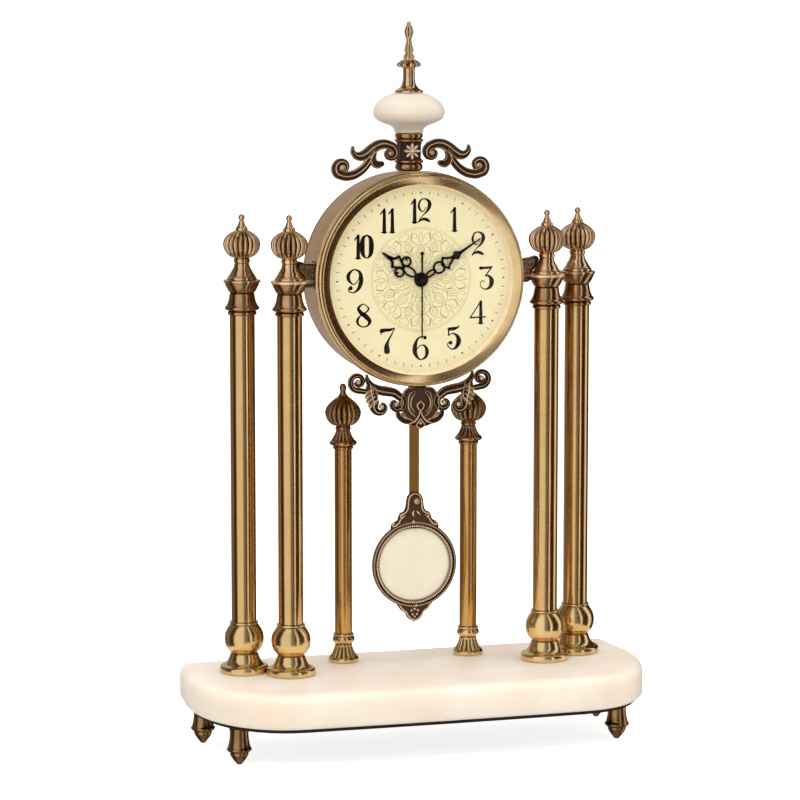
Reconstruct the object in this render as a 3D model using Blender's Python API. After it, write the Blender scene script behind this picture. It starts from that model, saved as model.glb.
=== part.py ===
"""Pillar mantel clock: marble base, turned brass columns, drum case and pendulum.

Sizes are in millimetres. X runs to the right of the dial, Y to the back and Z up. The origin
is on the ground under the middle of the clock, so the feet stand on Z = 0.
"""
import math

import bmesh
import bpy
from mathutils import Matrix, Vector

MM = 0.001
SEAT_GAP = 0.3
MERGE_DISTANCE = 1e-7
TURNED_SIDES = 12
BORE_SIDES = 6

# Base
FOOT_HEIGHT = 34.0
BOARD_THICK = 3.0
MARBLE_THICK = 28.5
MARBLE_BACK_HALF_WIDTH = 194.0
MARBLE_BACK = 82.0
MARBLE_HALF_WIDTH = 198.0
MARBLE_FRONT = 77.5
MARBLE_FRONT_BOW = 1.5
END_CURVE_MIDDLE = (118.0, 30.0)
END_CURVE_POWER = 2.2
BACK_CORNER_RADIUS = 8.0
BACK_ROUNDING = 0.25
BOARD_INSET = 5.0
FEET = {
    "foot_front_left": (-166.0, -24.0),
    "foot_front_right": (166.0, -24.0),
    "foot_back_left": (-177.5, 60.0),
    "foot_back_right": (177.5, 60.0),
}
MARBLE_BOTTOM = FOOT_HEIGHT + BOARD_THICK
MARBLE_TOP = MARBLE_BOTTOM + MARBLE_THICK

# Columns; heights are above the marble
LARGE_COLUMNS = {
    "column_outer_left": (-147.5, 33.1),
    "column_inner_left": (-112.4, 11.2),
    "column_inner_right": (112.4, 11.2),
    "column_outer_right": (147.5, 33.1),
}
SMALL_COLUMNS = {
    "column_small_left": (-55.8, 50.8),
    "column_small_right": (55.8, 50.8),
}
COLUMN_FLANGE_RADIUS = 20.4
LARGE_TUBE_RADIUS = 10.5
LARGE_TUBE_BOTTOM = 43.6
LARGE_TUBE_TOP = 302.4
RING_PLATE_RADIUS = 15.5
RING_PLATE_BOTTOM = 329.6
RING_PLATE_THICK = 2.1
LARGE_RIBS = 14
SMALL_TUBE_RADIUS = 7.4
SMALL_TUBE_BOTTOM = 24.9
SMALL_TUBE_TOP = 183.5
SMALL_CAPITAL_TOP = 199.4
SMALL_RIBS = 13
SMALL_FLUTES = 8
TUBE_WALL = 1.0
SPIGOT_LENGTH = 4.5
LARGE_ROD_RADIUS = 2.5
SMALL_ROD_RADIUS = 1.8
ROD_CLEARANCE = 0.9
NUT_HEIGHT = 3.6

# Clock head; depths are Y, measured from the middle of the base
DIAL_HEIGHT = MARBLE_TOP + 330.2
DRUM_RADIUS = 88.0
DRUM_WALL = 1.4
DRUM_FRONT = 12.8
DRUM_BACK = 61.6
BEZEL_RADIUS = 89.6
BEZEL_OPENING_RADIUS = 80.0
BEZEL_FRONT = -0.8
BEZEL_BACK = 12.5
DIAL_RADIUS = 84.0
DIAL_FACE = 8.2
DIAL_THICK = 0.8
GLASS_BACK = 3.1
GLASS_THICK = 1.5
GLASS_BULGE = 1.4
MOVEMENT_SIZE = 56.0
MOVEMENT_DEPTH = 16.0
MOVEMENT_FRONT = DIAL_FACE + DIAL_THICK + SEAT_GAP
MOVEMENT_BACK = MOVEMENT_FRONT + MOVEMENT_DEPTH
BATTERY_RADIUS = 7.0
BATTERY_LENGTH = 49.5
BATTERY_DROP = 17.0
WINDOW_HALF_WIDTH = 34.0
WINDOW_HALF_HEIGHT = 33.0

# Hands at half a minute past nine minutes past ten, clockwise from twelve
SECOND_TURN = 180.0
MINUTE_TURN = 57.0
HOUR_TURN = 304.75
HOUR_PLANE = 6.6
MINUTE_PLANE = 5.3
SECOND_PLANE = 3.4
HAND_THICK = 0.5
HAND_STROKE = 0.5

# Pendulum
PIVOT_HEIGHT = DIAL_HEIGHT - 22.0
PENDULUM_PLANE = 26.2
ROD_THICK = 1.2
ROD_WIDTH = 8.6
SLOT_CLEARANCE = 1.8
BOB_HEIGHT = MARBLE_TOP + 85.6
BOB_RADIUS = 37.3
BOB_OPENING_RADIUS = 30.6
SWING = 7.0

# Crest and lower ornament
FINIAL_Y = 42.7
CREST_PLANE = 36.7
ORNAMENT_FRONT = 6.6
ORNAMENT_BACK = 12.0


def arc(centre, radii, start, end, steps):
    """Points of an ellipse from one angle to another, in degrees, both ends included."""
    points = []
    for step in range(steps + 1):
        angle = math.radians(start + (end - start) * step / steps)
        points.append((centre[0] + radii[0] * math.cos(angle), centre[1] + radii[1] * math.sin(angle)))
    return points


def spiral(centre, outer, inner, start, end, steps):
    """Points of a spiral whose radius shrinks evenly from outer to inner."""
    points = []
    for step in range(steps + 1):
        share = step / steps
        angle = math.radians(start + (end - start) * share)
        radius = outer + (inner - outer) * share
        points.append((centre[0] + radius * math.cos(angle), centre[1] + radius * math.sin(angle)))
    return points


def smooth_path(keys, steps):
    """A Catmull-Rom curve through the key points, with the given steps between two of them."""
    keys = [Vector(key) for key in keys]
    keys = [keys[0] * 2 - keys[1]] + keys + [keys[-1] * 2 - keys[-2]]
    points = []
    for before, start, end, after in zip(keys, keys[1:], keys[2:], keys[3:]):
        for step in range(steps):
            t = step / steps
            bend = 2 * before - 5 * start + 4 * end - after
            twist = 3 * start - before - 3 * end + after
            points.append((2 * start + (end - before) * t + bend * t * t + twist * t ** 3) / 2)
    points.append(keys[-2])
    return [tuple(point) for point in points]


def spread(values, count):
    """The listed values spread evenly over a number of points, with straight steps between."""
    result = []
    for index in range(count):
        place = index / (count - 1) * (len(values) - 1)
        low = min(int(place), len(values) - 2)
        result.append(values[low] + (values[low + 1] - values[low]) * (place - low))
    return result


def mirrored(points):
    return [(-x, z) for x, z in points]


def make_ring(bm, radius, height, sides, rib_depth=0.0, square=False):
    """A ring of vertices; ribs pull every second vertex in, and square fits it to four flats."""
    place = Matrix.Translation((0, 0, height))
    verts = bmesh.ops.create_circle(bm, segments=sides, radius=radius, matrix=place)["verts"]
    for index, vert in enumerate(verts):
        if index % 2:
            vert.co.xy *= 1 - rib_depth
        if square:
            vert.co.xy *= radius / max(abs(vert.co.x), abs(vert.co.y))
    return verts


def stitch(bm, lower, upper):
    """Join two rings that may differ in number, with quads where their corners fall together."""
    low = 0
    high = 0
    while low < len(lower) or high < len(upper):
        start_low = lower[low % len(lower)]
        start_high = upper[high % len(upper)]
        next_low = (low + 1) * len(upper)
        next_high = (high + 1) * len(lower)
        corners = [start_low]
        if next_low <= next_high:
            low += 1
            corners.append(lower[low % len(lower)])
        if next_high <= next_low:
            high += 1
            corners.append(upper[high % len(upper)])
        corners.append(start_high)
        bm.faces.new(corners)


def turn(profile, sides=TURNED_SIDES, hollow=False):
    """A turned body about Z. A profile row holds make_ring's values from radius and height on."""
    bm = bmesh.new()
    rings = []
    for row in profile:
        settings = list(row) + [sides] * (len(row) == 2)
        rings.append(make_ring(bm, *settings))
    for lower, upper in zip(rings, rings[1:]):
        stitch(bm, lower, upper)
    if hollow:
        stitch(bm, rings[-1], rings[0])
    else:
        bm.faces.new(rings[0])
        bm.faces.new(rings[-1])
    bmesh.ops.recalc_face_normals(bm, faces=bm.faces)
    return bm


def facing_back(bm):
    """Turn a body made about Z so that its axis runs along Y, with its heights as depths."""
    bm.transform(Matrix.Rotation(math.radians(-90), 4, "X"))
    return bm


def loft(outlines):
    """A body through outlines at given heights, each a list of the same number of X, Y points."""
    bm = bmesh.new()
    loops = []
    for height, outline in outlines:
        verts = [bm.verts.new((x, y, height)) for x, y in outline]
        loops.append([bm.edges.new(pair) for pair in zip(verts, verts[1:] + verts[:1])])
    for lower, upper in zip(loops, loops[1:]):
        bmesh.ops.bridge_loops(bm, edges=lower + upper)
    bmesh.ops.contextual_create(bm, geom=loops[0])
    bmesh.ops.contextual_create(bm, geom=loops[-1])
    bmesh.ops.recalc_face_normals(bm, faces=bm.faces)
    return bm


def plate(outline, front, back):
    """A flat plate seen from the front: its outline is in X and Z, its faces at two depths."""
    return facing_back(loft([(front, [(x, -z) for x, z in outline]), (back, [(x, -z) for x, z in outline])]))


def band(path, widths, front, back, closed=False, crown=0.25):
    """A strap along a path in X and Z. Its front edges are drawn in by a share of its width."""
    bm = bmesh.new()
    count = len(path)
    sections = []
    for index, (x, z) in enumerate(path):
        before = path[index - 1] if index or closed else path[0]
        after = path[(index + 1) % count] if index + 1 < count or closed else path[-1]
        side = Vector((before[1] - after[1], after[0] - before[0])).normalized()
        half = widths[index] / 2
        corners = ((half, back), (-half, back), (-half * (1 - crown), front), (half * (1 - crown), front))
        sections.append([bm.verts.new((x + side.x * w, depth, z + side.y * w)) for w, depth in corners])
    pairs = list(zip(sections, sections[1:]))
    if closed:
        pairs.append((sections[-1], sections[0]))
    else:
        bm.faces.new(sections[0])
        bm.faces.new(reversed(sections[-1]))
    for near, far in pairs:
        for corner in range(4):
            following = (corner + 1) % 4
            bm.faces.new((near[corner], near[following], far[following], far[corner]))
    bmesh.ops.recalc_face_normals(bm, faces=bm.faces)
    return bm


def material(name, colour, metallic, roughness, alpha=1.0):
    made = bpy.data.materials.new(name)
    made.use_nodes = True
    shader = made.node_tree.nodes["Principled BSDF"]
    shader.inputs["Base Color"].default_value = (*colour, 1.0)
    shader.inputs["Metallic"].default_value = metallic
    shader.inputs["Roughness"].default_value = roughness
    shader.inputs["Alpha"].default_value = alpha
    return made


def add_object(name, bm, finish=None, location=(0, 0, 0), turn_y=0.0):
    """Make an object from a body in millimetres and put it in its place."""
    bm.transform(Matrix.Scale(MM, 4))
    mesh = bpy.data.meshes.new(name)
    bm.to_mesh(mesh)
    bm.free()
    if finish:
        mesh.materials.append(finish)
    mesh.shade_smooth()
    mesh.set_sharp_from_angle(angle=math.radians(38))
    made = bpy.data.objects.new(name, mesh)
    made.location = Vector(location) * MM
    made.rotation_euler.y = math.radians(turn_y)
    bpy.context.scene.collection.objects.link(made)
    return made


def add_boolean(target, tool, operation):
    modifier = target.modifiers.new(operation.lower() + "_" + tool.name, "BOOLEAN")
    modifier.operation = operation
    modifier.object = tool
    modifier.solver = "EXACT"


def cut(target, name, bodies):
    """Cut bodies out of an object. The cutter stays beside it as a wire that isn't built."""
    for index, body in enumerate(bodies):
        cutter = add_object(name + "_" + str(index), body)
        cutter.display_type = "WIRE"
        cutter.hide_render = True
        add_boolean(target, cutter, "DIFFERENCE")


def fuse(name, bodies, finish, location=(0, 0, 0), turn_y=0.0):
    """One object from bodies that run into each other, joined by Boolean unions."""
    pieces = [add_object(name + "_piece_" + str(index), body) for index, body in enumerate(bodies)]
    for piece in pieces[1:]:
        add_boolean(pieces[0], piece, "UNION")
    graph = bpy.context.evaluated_depsgraph_get()
    bm = bmesh.new()
    bm.from_object(pieces[0], graph)
    for piece in pieces:
        bpy.data.objects.remove(piece)
    bmesh.ops.remove_doubles(bm, verts=bm.verts, dist=MERGE_DISTANCE)
    bmesh.ops.dissolve_degenerate(bm, edges=bm.edges, dist=MERGE_DISTANCE)
    bmesh.ops.dissolve_limit(bm, angle_limit=math.radians(1.5), verts=bm.verts, edges=bm.edges)
    bm.transform(Matrix.Scale(1 / MM, 4))
    return add_object(name, bm, finish, location, turn_y)


def hole(x, y, radius, bottom, top, sides=BORE_SIDES):
    bm = turn([(radius, bottom), (radius, top)], sides)
    bm.transform(Matrix.Translation((x, y, 0)))
    return bm


def marble_outline(inset):
    """Straight back, ends that run into the front in one long curve, and a slightly bowed front."""
    middle_x, middle_y = END_CURVE_MIDDLE
    half_width = MARBLE_HALF_WIDTH - middle_x - inset
    half_depth = MARBLE_FRONT - MARBLE_FRONT_BOW + middle_y - inset
    corner = (MARBLE_BACK_HALF_WIDTH - BACK_CORNER_RADIUS, MARBLE_BACK - BACK_CORNER_RADIUS)
    corner_radii = (BACK_CORNER_RADIUS - inset, BACK_CORNER_RADIUS - BACK_ROUNDING * inset)
    right = arc(corner, corner_radii, 90, 5, 3)
    for step in range(10):
        turn_step = math.radians(88 * step / 9)
        x = middle_x + half_width * math.cos(turn_step) ** (2 / END_CURVE_POWER)
        y = middle_y - half_depth * math.sin(turn_step) ** (2 / END_CURVE_POWER)
        right.append((x, y))
    bow_radius = middle_x ** 2 / (2 * MARBLE_FRONT_BOW)
    bow_angle = math.degrees(middle_x / bow_radius)
    bow_centre = (0, bow_radius - MARBLE_FRONT)
    bow = arc(bow_centre, (bow_radius - inset, bow_radius - inset), bow_angle - 90, -90 - bow_angle, 4)
    left = [(-x, y) for x, y in reversed(right)]
    return right + bow[1:-1] + left


def build_base(finishes):
    """Marble slab on a dark board and four turned brass feet with pointed tips."""
    rounding = [(3.0, 0.0), (0.0, 3.0), (0.0, 20.0), (0.9, 24.2), (3.2, 27.2), (7.0, MARBLE_THICK)]
    levels = [(MARBLE_BOTTOM + height, marble_outline(inset)) for inset, height in rounding]
    marble = add_object("marble_base", loft(levels), finishes["marble"])
    board_outline = marble_outline(BOARD_INSET)
    board_levels = [(FOOT_HEIGHT, board_outline), (MARBLE_BOTTOM - SEAT_GAP, board_outline)]
    board = add_object("base_underboard", loft(board_levels), finishes["board"])
    holes = []
    for x, y in LARGE_COLUMNS.values():
        holes.append((x, y, LARGE_ROD_RADIUS + ROD_CLEARANCE, MARBLE_TOP + 1))
    for x, y in SMALL_COLUMNS.values():
        holes.append((x, y, SMALL_ROD_RADIUS + ROD_CLEARANCE, MARBLE_TOP + 1))
    for x, y in FEET.values():
        holes.append((x, y, LARGE_ROD_RADIUS + ROD_CLEARANCE, FOOT_HEIGHT + 13))
    for target in (marble, board):
        bodies = [hole(x, y, radius, FOOT_HEIGHT - 1, top) for x, y, radius, top in holes]
        cut(target, target.name + "_hole", bodies)
    stud_top = FOOT_HEIGHT + 12
    profile = [(1.8, 0.0), (5.2, 4.4), (7.6, 8.6), (8.0, 10.8), (10.2, 12.4), (10.2, 14.0), (8.6, 18.0)]
    profile += [(7.8, 24.6), (8.2, 30.0), (9.4, 32.0), (9.4, FOOT_HEIGHT - SEAT_GAP)]
    profile += [(2.6, FOOT_HEIGHT - SEAT_GAP, BORE_SIDES), (2.6, stud_top, BORE_SIDES)]
    for name, (x, y) in FEET.items():
        add_object(name, turn(profile, 10), finishes["brass"], (x, y, 0))


def large_foot(bore):
    """Wide flange, cove, bulb and collar, bored for the tie rod, with a spigot for the tube."""
    profile = [(bore, SEAT_GAP, BORE_SIDES), (COLUMN_FLANGE_RADIUS, SEAT_GAP), (COLUMN_FLANGE_RADIUS, 4.6)]
    profile += [(18.8, 6.2), (13.2, 10.0), (11.2, 16.6)]
    profile += arc((0, 29.3), (16.6, 16.0), -46, 46, 3)
    profile += [(12.0, LARGE_TUBE_BOTTOM - SEAT_GAP)]
    spigot = LARGE_TUBE_RADIUS - TUBE_WALL - SEAT_GAP
    profile += [(spigot, LARGE_TUBE_BOTTOM - SEAT_GAP), (spigot, LARGE_TUBE_BOTTOM + SPIGOT_LENGTH)]
    return turn(profile + [(bore, LARGE_TUBE_BOTTOM + SPIGOT_LENGTH, BORE_SIDES)], hollow=True)


def large_capital(bore):
    """Collar, lower ring, waisted neck and the cup that carries the ring plate."""
    spigot = LARGE_TUBE_RADIUS - TUBE_WALL - SEAT_GAP
    shoulder = LARGE_TUBE_TOP + SEAT_GAP
    bottom = LARGE_TUBE_TOP - SPIGOT_LENGTH
    profile = [(bore, bottom, BORE_SIDES), (spigot, bottom), (spigot, shoulder)]
    profile += [(11.8, shoulder), (11.8, 305.8), (14.4, 307.4), (14.4, 309.4), (11.4, 314.0), (10.6, 320.4)]
    profile += [(14.2, 327.6), (14.2, RING_PLATE_BOTTOM - SEAT_GAP)]
    return turn(profile + [(bore, RING_PLATE_BOTTOM - SEAT_GAP, BORE_SIDES)], hollow=True)


def large_finial(bore, ring_plate):
    """Flared neck under a gadrooned onion, a slim spire and a ball, with a blind rod bore."""
    plate_top = RING_PLATE_BOTTOM + RING_PLATE_THICK
    bottom = plate_top + SEAT_GAP
    profile = [(bore, 341.0, BORE_SIDES)]
    if ring_plate:
        bottom = RING_PLATE_BOTTOM
        profile += [(bore, bottom, BORE_SIDES), (RING_PLATE_RADIUS, bottom), (RING_PLATE_RADIUS, plate_top)]
        profile += [(12.2, plate_top)]
    else:
        profile += [(bore, bottom, BORE_SIDES), (12.2, bottom)]
    profile += [(12.2, 334.2), (8.4, 339.4), (6.0, 345.0), (6.7, 349.2)]
    ribbed = 2 * LARGE_RIBS
    onion = ((12.0, 352.6, 0.08), (15.5, 360.8, 0.1), (12.8, 367.6, 0.1))
    profile += [(radius, height, ribbed, depth) for radius, height, depth in onion]
    spire = ((4.6, 373.2), (4.4, 375.2), (1.8, 381.2), (2.7, 383.4), (1.2, 385.8))
    profile += [(radius, height, 6) for radius, height in spire]
    return turn(profile)


def small_foot(bore):
    """Fluted bell on a round flange, with a small bulb and ring above it."""
    fluted = 2 * SMALL_FLUTES
    profile = [(bore, SEAT_GAP, BORE_SIDES), (12.9, SEAT_GAP), (12.9, 3.6)]
    profile += [(11.9, 4.8, fluted, 0.06), (9.0, 8.8, fluted, 0.1), (7.4, 14.4, fluted, 0.06)]
    profile += [(7.6, 15.8), (9.4, 18.8), (8.4, 22.4), (8.4, SMALL_TUBE_BOTTOM - SEAT_GAP)]
    spigot = SMALL_TUBE_RADIUS - TUBE_WALL - SEAT_GAP
    profile += [(spigot, SMALL_TUBE_BOTTOM - SEAT_GAP), (spigot, SMALL_TUBE_BOTTOM + SPIGOT_LENGTH)]
    return turn(profile + [(bore, SMALL_TUBE_BOTTOM + SPIGOT_LENGTH, BORE_SIDES)], 10, hollow=True)


def small_capital(bore):
    """Collar and ring under a short fluted flare."""
    fluted = 2 * SMALL_FLUTES
    spigot = SMALL_TUBE_RADIUS - TUBE_WALL - SEAT_GAP
    shoulder = SMALL_TUBE_TOP + SEAT_GAP
    bottom = SMALL_TUBE_TOP - SPIGOT_LENGTH
    profile = [(bore, bottom, BORE_SIDES), (spigot, bottom), (spigot, shoulder)]
    profile += [(8.4, shoulder), (11.6, 187.2), (11.6, 190.0)]
    profile += [(9.8, 192.0, fluted, 0.08), (6.4, 197.4, fluted, 0.06), (6.0, SMALL_CAPITAL_TOP)]
    return turn(profile + [(bore, SMALL_CAPITAL_TOP, BORE_SIDES)], 10, hollow=True)


def small_finial(bore):
    """Gadrooned onion on a short neck, with a small knob and a blind rod bore."""
    bottom = SMALL_CAPITAL_TOP + SEAT_GAP
    ribbed = 2 * SMALL_RIBS
    profile = [(bore, 208.0, BORE_SIDES), (bore, bottom, BORE_SIDES), (5.9, bottom), (6.4, 202.6)]
    onion = ((12.6, 206.4, 0.08), (15.4, 214.6, 0.1), (10.8, 222.4, 0.1))
    profile += [(radius, height, ribbed, depth) for radius, height, depth in onion]
    knob = ((4.2, 228.6), (2.5, 231.6), (2.9, 235.2), (0.9, 239.7))
    profile += [(radius, height, 6) for radius, height in knob]
    return turn(profile, 10)


def tie_rod(radius, top):
    """Long rod with a hexagonal nut that bears on the underside of the board."""
    nut = radius * 2
    nut_top = FOOT_HEIGHT - SEAT_GAP
    rod_top = MARBLE_TOP + top
    return turn([(nut, nut_top - NUT_HEIGHT), (nut, nut_top), (radius, nut_top), (radius, rod_top)], 6)


def column_tube(radius, bottom, top):
    inner = radius - TUBE_WALL
    return turn([(radius, bottom), (radius, top), (inner, top), (inner, bottom)], hollow=True)


def build_columns(finishes):
    """Each column is a stack of foot, tube, capital and finial that its tie rod clamps together."""
    bore = LARGE_ROD_RADIUS + ROD_CLEARANCE
    for name, (x, y) in LARGE_COLUMNS.items():
        place = (x, y, MARBLE_TOP)
        add_object(name + "_foot", large_foot(bore), finishes["light_brass"], place)
        tube = column_tube(LARGE_TUBE_RADIUS, LARGE_TUBE_BOTTOM, LARGE_TUBE_TOP)
        add_object(name + "_tube", tube, finishes["brass"], place)
        add_object(name + "_capital", large_capital(bore), finishes["brass"], place)
        add_object(name + "_finial", large_finial(bore, "outer" in name), finishes["bronze"], place)
        add_object(name + "_tie_rod", tie_rod(LARGE_ROD_RADIUS, 339.0), finishes["steel"], (x, y, 0))
    bore = SMALL_ROD_RADIUS + ROD_CLEARANCE
    for name, (x, y) in SMALL_COLUMNS.items():
        place = (x, y, MARBLE_TOP)
        add_object(name + "_foot", small_foot(bore), finishes["light_brass"], place)
        tube = column_tube(SMALL_TUBE_RADIUS, SMALL_TUBE_BOTTOM, SMALL_TUBE_TOP)
        add_object(name + "_tube", tube, finishes["brass"], place)
        add_object(name + "_capital", small_capital(bore), finishes["brass"], place)
        add_object(name + "_finial", small_finial(bore), finishes["bronze"], place)
        add_object(name + "_tie_rod", tie_rod(SMALL_ROD_RADIUS, 206.0), finishes["steel"], (x, y, 0))


def build_case(finishes):
    """Drum with its rear lip, bezel, domed glass, sight ring, dial and windowed rear cover."""
    centre = (0, 0, DIAL_HEIGHT)
    inner = DRUM_RADIUS - DRUM_WALL
    lip = 78.0
    drum_profile = [(DRUM_RADIUS, DRUM_FRONT), (DRUM_RADIUS, DRUM_BACK)]
    drum_profile += [(lip, DRUM_BACK), (lip, DRUM_BACK - DRUM_WALL), (inner, DRUM_BACK - DRUM_WALL)]
    drum_profile += [(inner, DRUM_FRONT)]
    drum_body = facing_back(turn(drum_profile, 32, True))
    drum = add_object("case_drum", drum_body, finishes["antique_brass"], centre)
    reach = PIVOT_HEIGHT - DIAL_HEIGHT + DRUM_RADIUS
    half_slot = reach * math.tan(math.radians(SWING)) + ROD_WIDTH / 2 + SLOT_CLEARANCE
    front = PENDULUM_PLANE - SLOT_CLEARANCE
    back = PENDULUM_PLANE + ROD_THICK + SLOT_CLEARANCE
    corners = [(-half_slot, front), (half_slot, front), (half_slot, back), (-half_slot, back)]
    drum_bottom = DIAL_HEIGHT - DRUM_RADIUS
    slot = loft([(drum_bottom - 4, corners), (drum_bottom + 8, corners)])
    cut(drum, "pendulum_slot", [slot])

    bezel_profile = [(BEZEL_OPENING_RADIUS, 1.2), (BEZEL_OPENING_RADIUS + 0.8, 0.1), (84.6, BEZEL_FRONT)]
    bezel_profile += [(88.4, 1.0), (BEZEL_RADIUS, 5.0), (88.4, 9.0), (90.5, 10.0), (90.5, BEZEL_BACK)]
    bezel_profile += [(DIAL_RADIUS + 0.8, BEZEL_BACK), (DIAL_RADIUS + 0.8, 1.2)]
    add_object("bezel", facing_back(turn(bezel_profile, 32, True)), finishes["brass"], centre)

    glass_edge = DIAL_RADIUS + 0.4
    front = GLASS_BACK - GLASS_THICK
    glass_profile = [(20.0, GLASS_BACK - GLASS_BULGE, 8), (56.0, GLASS_BACK - 0.6 * GLASS_BULGE, 14)]
    glass_profile += [(glass_edge, GLASS_BACK), (glass_edge, front)]
    glass_profile += [(56.0, front - 0.6 * GLASS_BULGE, 14), (20.0, front - GLASS_BULGE, 8)]
    add_object("glass", facing_back(turn(glass_profile, 28)), finishes["glass"], centre)

    sight_front = GLASS_BACK + SEAT_GAP
    sight_back = DIAL_FACE - SEAT_GAP
    sight_profile = [(80.6, sight_front), (glass_edge, sight_front)]
    sight_profile += [(glass_edge, sight_back), (78.8, sight_back)]
    sight_ring = facing_back(turn(sight_profile, 28, True))
    add_object("sight_ring", sight_ring, finishes["antique_brass"], centre)

    dial_back = DIAL_FACE + DIAL_THICK
    dial_profile = [(DIAL_RADIUS, DIAL_FACE), (DIAL_RADIUS, dial_back)]
    dial_profile += [(5.2, dial_back, 12), (5.2, DIAL_FACE, 12)]
    add_object("dial", facing_back(turn(dial_profile, 32, True)), finishes["dial"], centre)

    cover_front = DRUM_BACK + SEAT_GAP
    cover_profile = [(83.0, cover_front), (83.0, cover_front + 1.0), (81.4, cover_front + 2.0)]
    cover_body = facing_back(turn(cover_profile, 28))
    cover = add_object("rear_cover", cover_body, finishes["antique_brass"], centre)
    window = rounded_box(WINDOW_HALF_WIDTH, WINDOW_HALF_HEIGHT, 8.0)
    window_cutter = plate([(x, z + DIAL_HEIGHT) for x, z in window], cover_front - 2, cover_front + 5)
    cut(cover, "access_window", [window_cutter])


def rounded_box(half_width, half_height, radius):
    """Outline of a rectangle with round corners."""
    outline = []
    for turn_index, (sign_x, sign_z) in enumerate(((1, 1), (-1, 1), (-1, -1), (1, -1))):
        corner = (sign_x * (half_width - radius), sign_z * (half_height - radius))
        outline += arc(corner, (radius, radius), 90 * turn_index, 90 * turn_index + 90, 3)
    return outline


def build_movement(finishes):
    """Quartz movement with its centre bushing, battery bay, pendulum pin, battery and set knob."""
    centre = (0, 0, DIAL_HEIGHT)
    half = MOVEMENT_SIZE / 2
    body = plate(rounded_box(half, half, 3.0), MOVEMENT_FRONT, MOVEMENT_BACK)
    bushing = facing_back(turn([(4.7, DIAL_FACE - 0.8), (4.7, MOVEMENT_FRONT + 1)], 12))
    pin = facing_back(turn([(1.0, MOVEMENT_BACK - 2), (1.0, PENDULUM_PLANE + ROD_THICK + 1.4)], 8))
    pin.transform(Matrix.Translation((0, 0, PIVOT_HEIGHT - DIAL_HEIGHT)))
    movement = fuse("movement", [body, bushing, pin], finishes["plastic"], centre)
    bore = facing_back(turn([(3.7, DIAL_FACE - 2), (3.7, MOVEMENT_FRONT + 6)], 12))
    bore.transform(Matrix.Translation((0, 0, DIAL_HEIGHT)))
    bay_half = BATTERY_LENGTH / 2 + 0.6
    bay_top = DIAL_HEIGHT + BATTERY_DROP + BATTERY_RADIUS + 0.5
    bay_bottom = DIAL_HEIGHT + BATTERY_DROP - BATTERY_RADIUS - 0.5
    bay_outline = [(-bay_half, bay_bottom), (bay_half, bay_bottom), (bay_half, bay_top), (-bay_half, bay_top)]
    bay = plate(bay_outline, MOVEMENT_BACK - 2 * BATTERY_RADIUS - 0.8, MOVEMENT_BACK + 2)
    cut(movement, "movement_hollow", [bore, bay])
    battery = turn([(BATTERY_RADIUS, 0), (BATTERY_RADIUS, BATTERY_LENGTH - 1), (2.6, BATTERY_LENGTH - 1),
                    (2.6, BATTERY_LENGTH)], 14)
    battery.transform(Matrix.Rotation(math.radians(90), 4, "Y"))
    battery_depth = MOVEMENT_BACK - BATTERY_RADIUS - 0.4
    battery_place = (-BATTERY_LENGTH / 2, battery_depth, DIAL_HEIGHT + BATTERY_DROP)
    add_object("battery", battery, finishes["battery"], battery_place)
    knob_front = MOVEMENT_BACK + SEAT_GAP
    knob_profile = [(5.0, knob_front), (6.6, knob_front + 0.8, 20, 0.06), (6.6, knob_front + 4.8, 20, 0.06)]
    add_object("set_knob", facing_back(turn(knob_profile, 12)), finishes["plastic"], centre)


def hand_loop(centre, radii, plane, steps=8):
    """A pierced loop of a hand; its centre lies along the hand, which points up."""
    path = arc(centre, radii, 0, 360, steps)[:-1]
    return band(path, [HAND_STROKE * 2] * steps, plane, plane + HAND_THICK, closed=True)


def hand_kite(points, plane):
    """A pierced kite with sides that curve in towards its point."""
    path = points + [(-x, z) for x, z in reversed(points[1:-1])]
    return band(path, [HAND_STROKE * 2] * len(path), plane, plane + HAND_THICK, closed=True)


def boss(radius, bore, plane, thick, collar, collar_end):
    """The round middle of a hand and the pipe behind it that turns inside the next one."""
    profile = [(bore, plane), (radius, plane), (radius, plane + thick), (collar, plane + thick)]
    return facing_back(turn(profile + [(collar, collar_end), (bore, collar_end)], 12, hollow=True))


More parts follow.
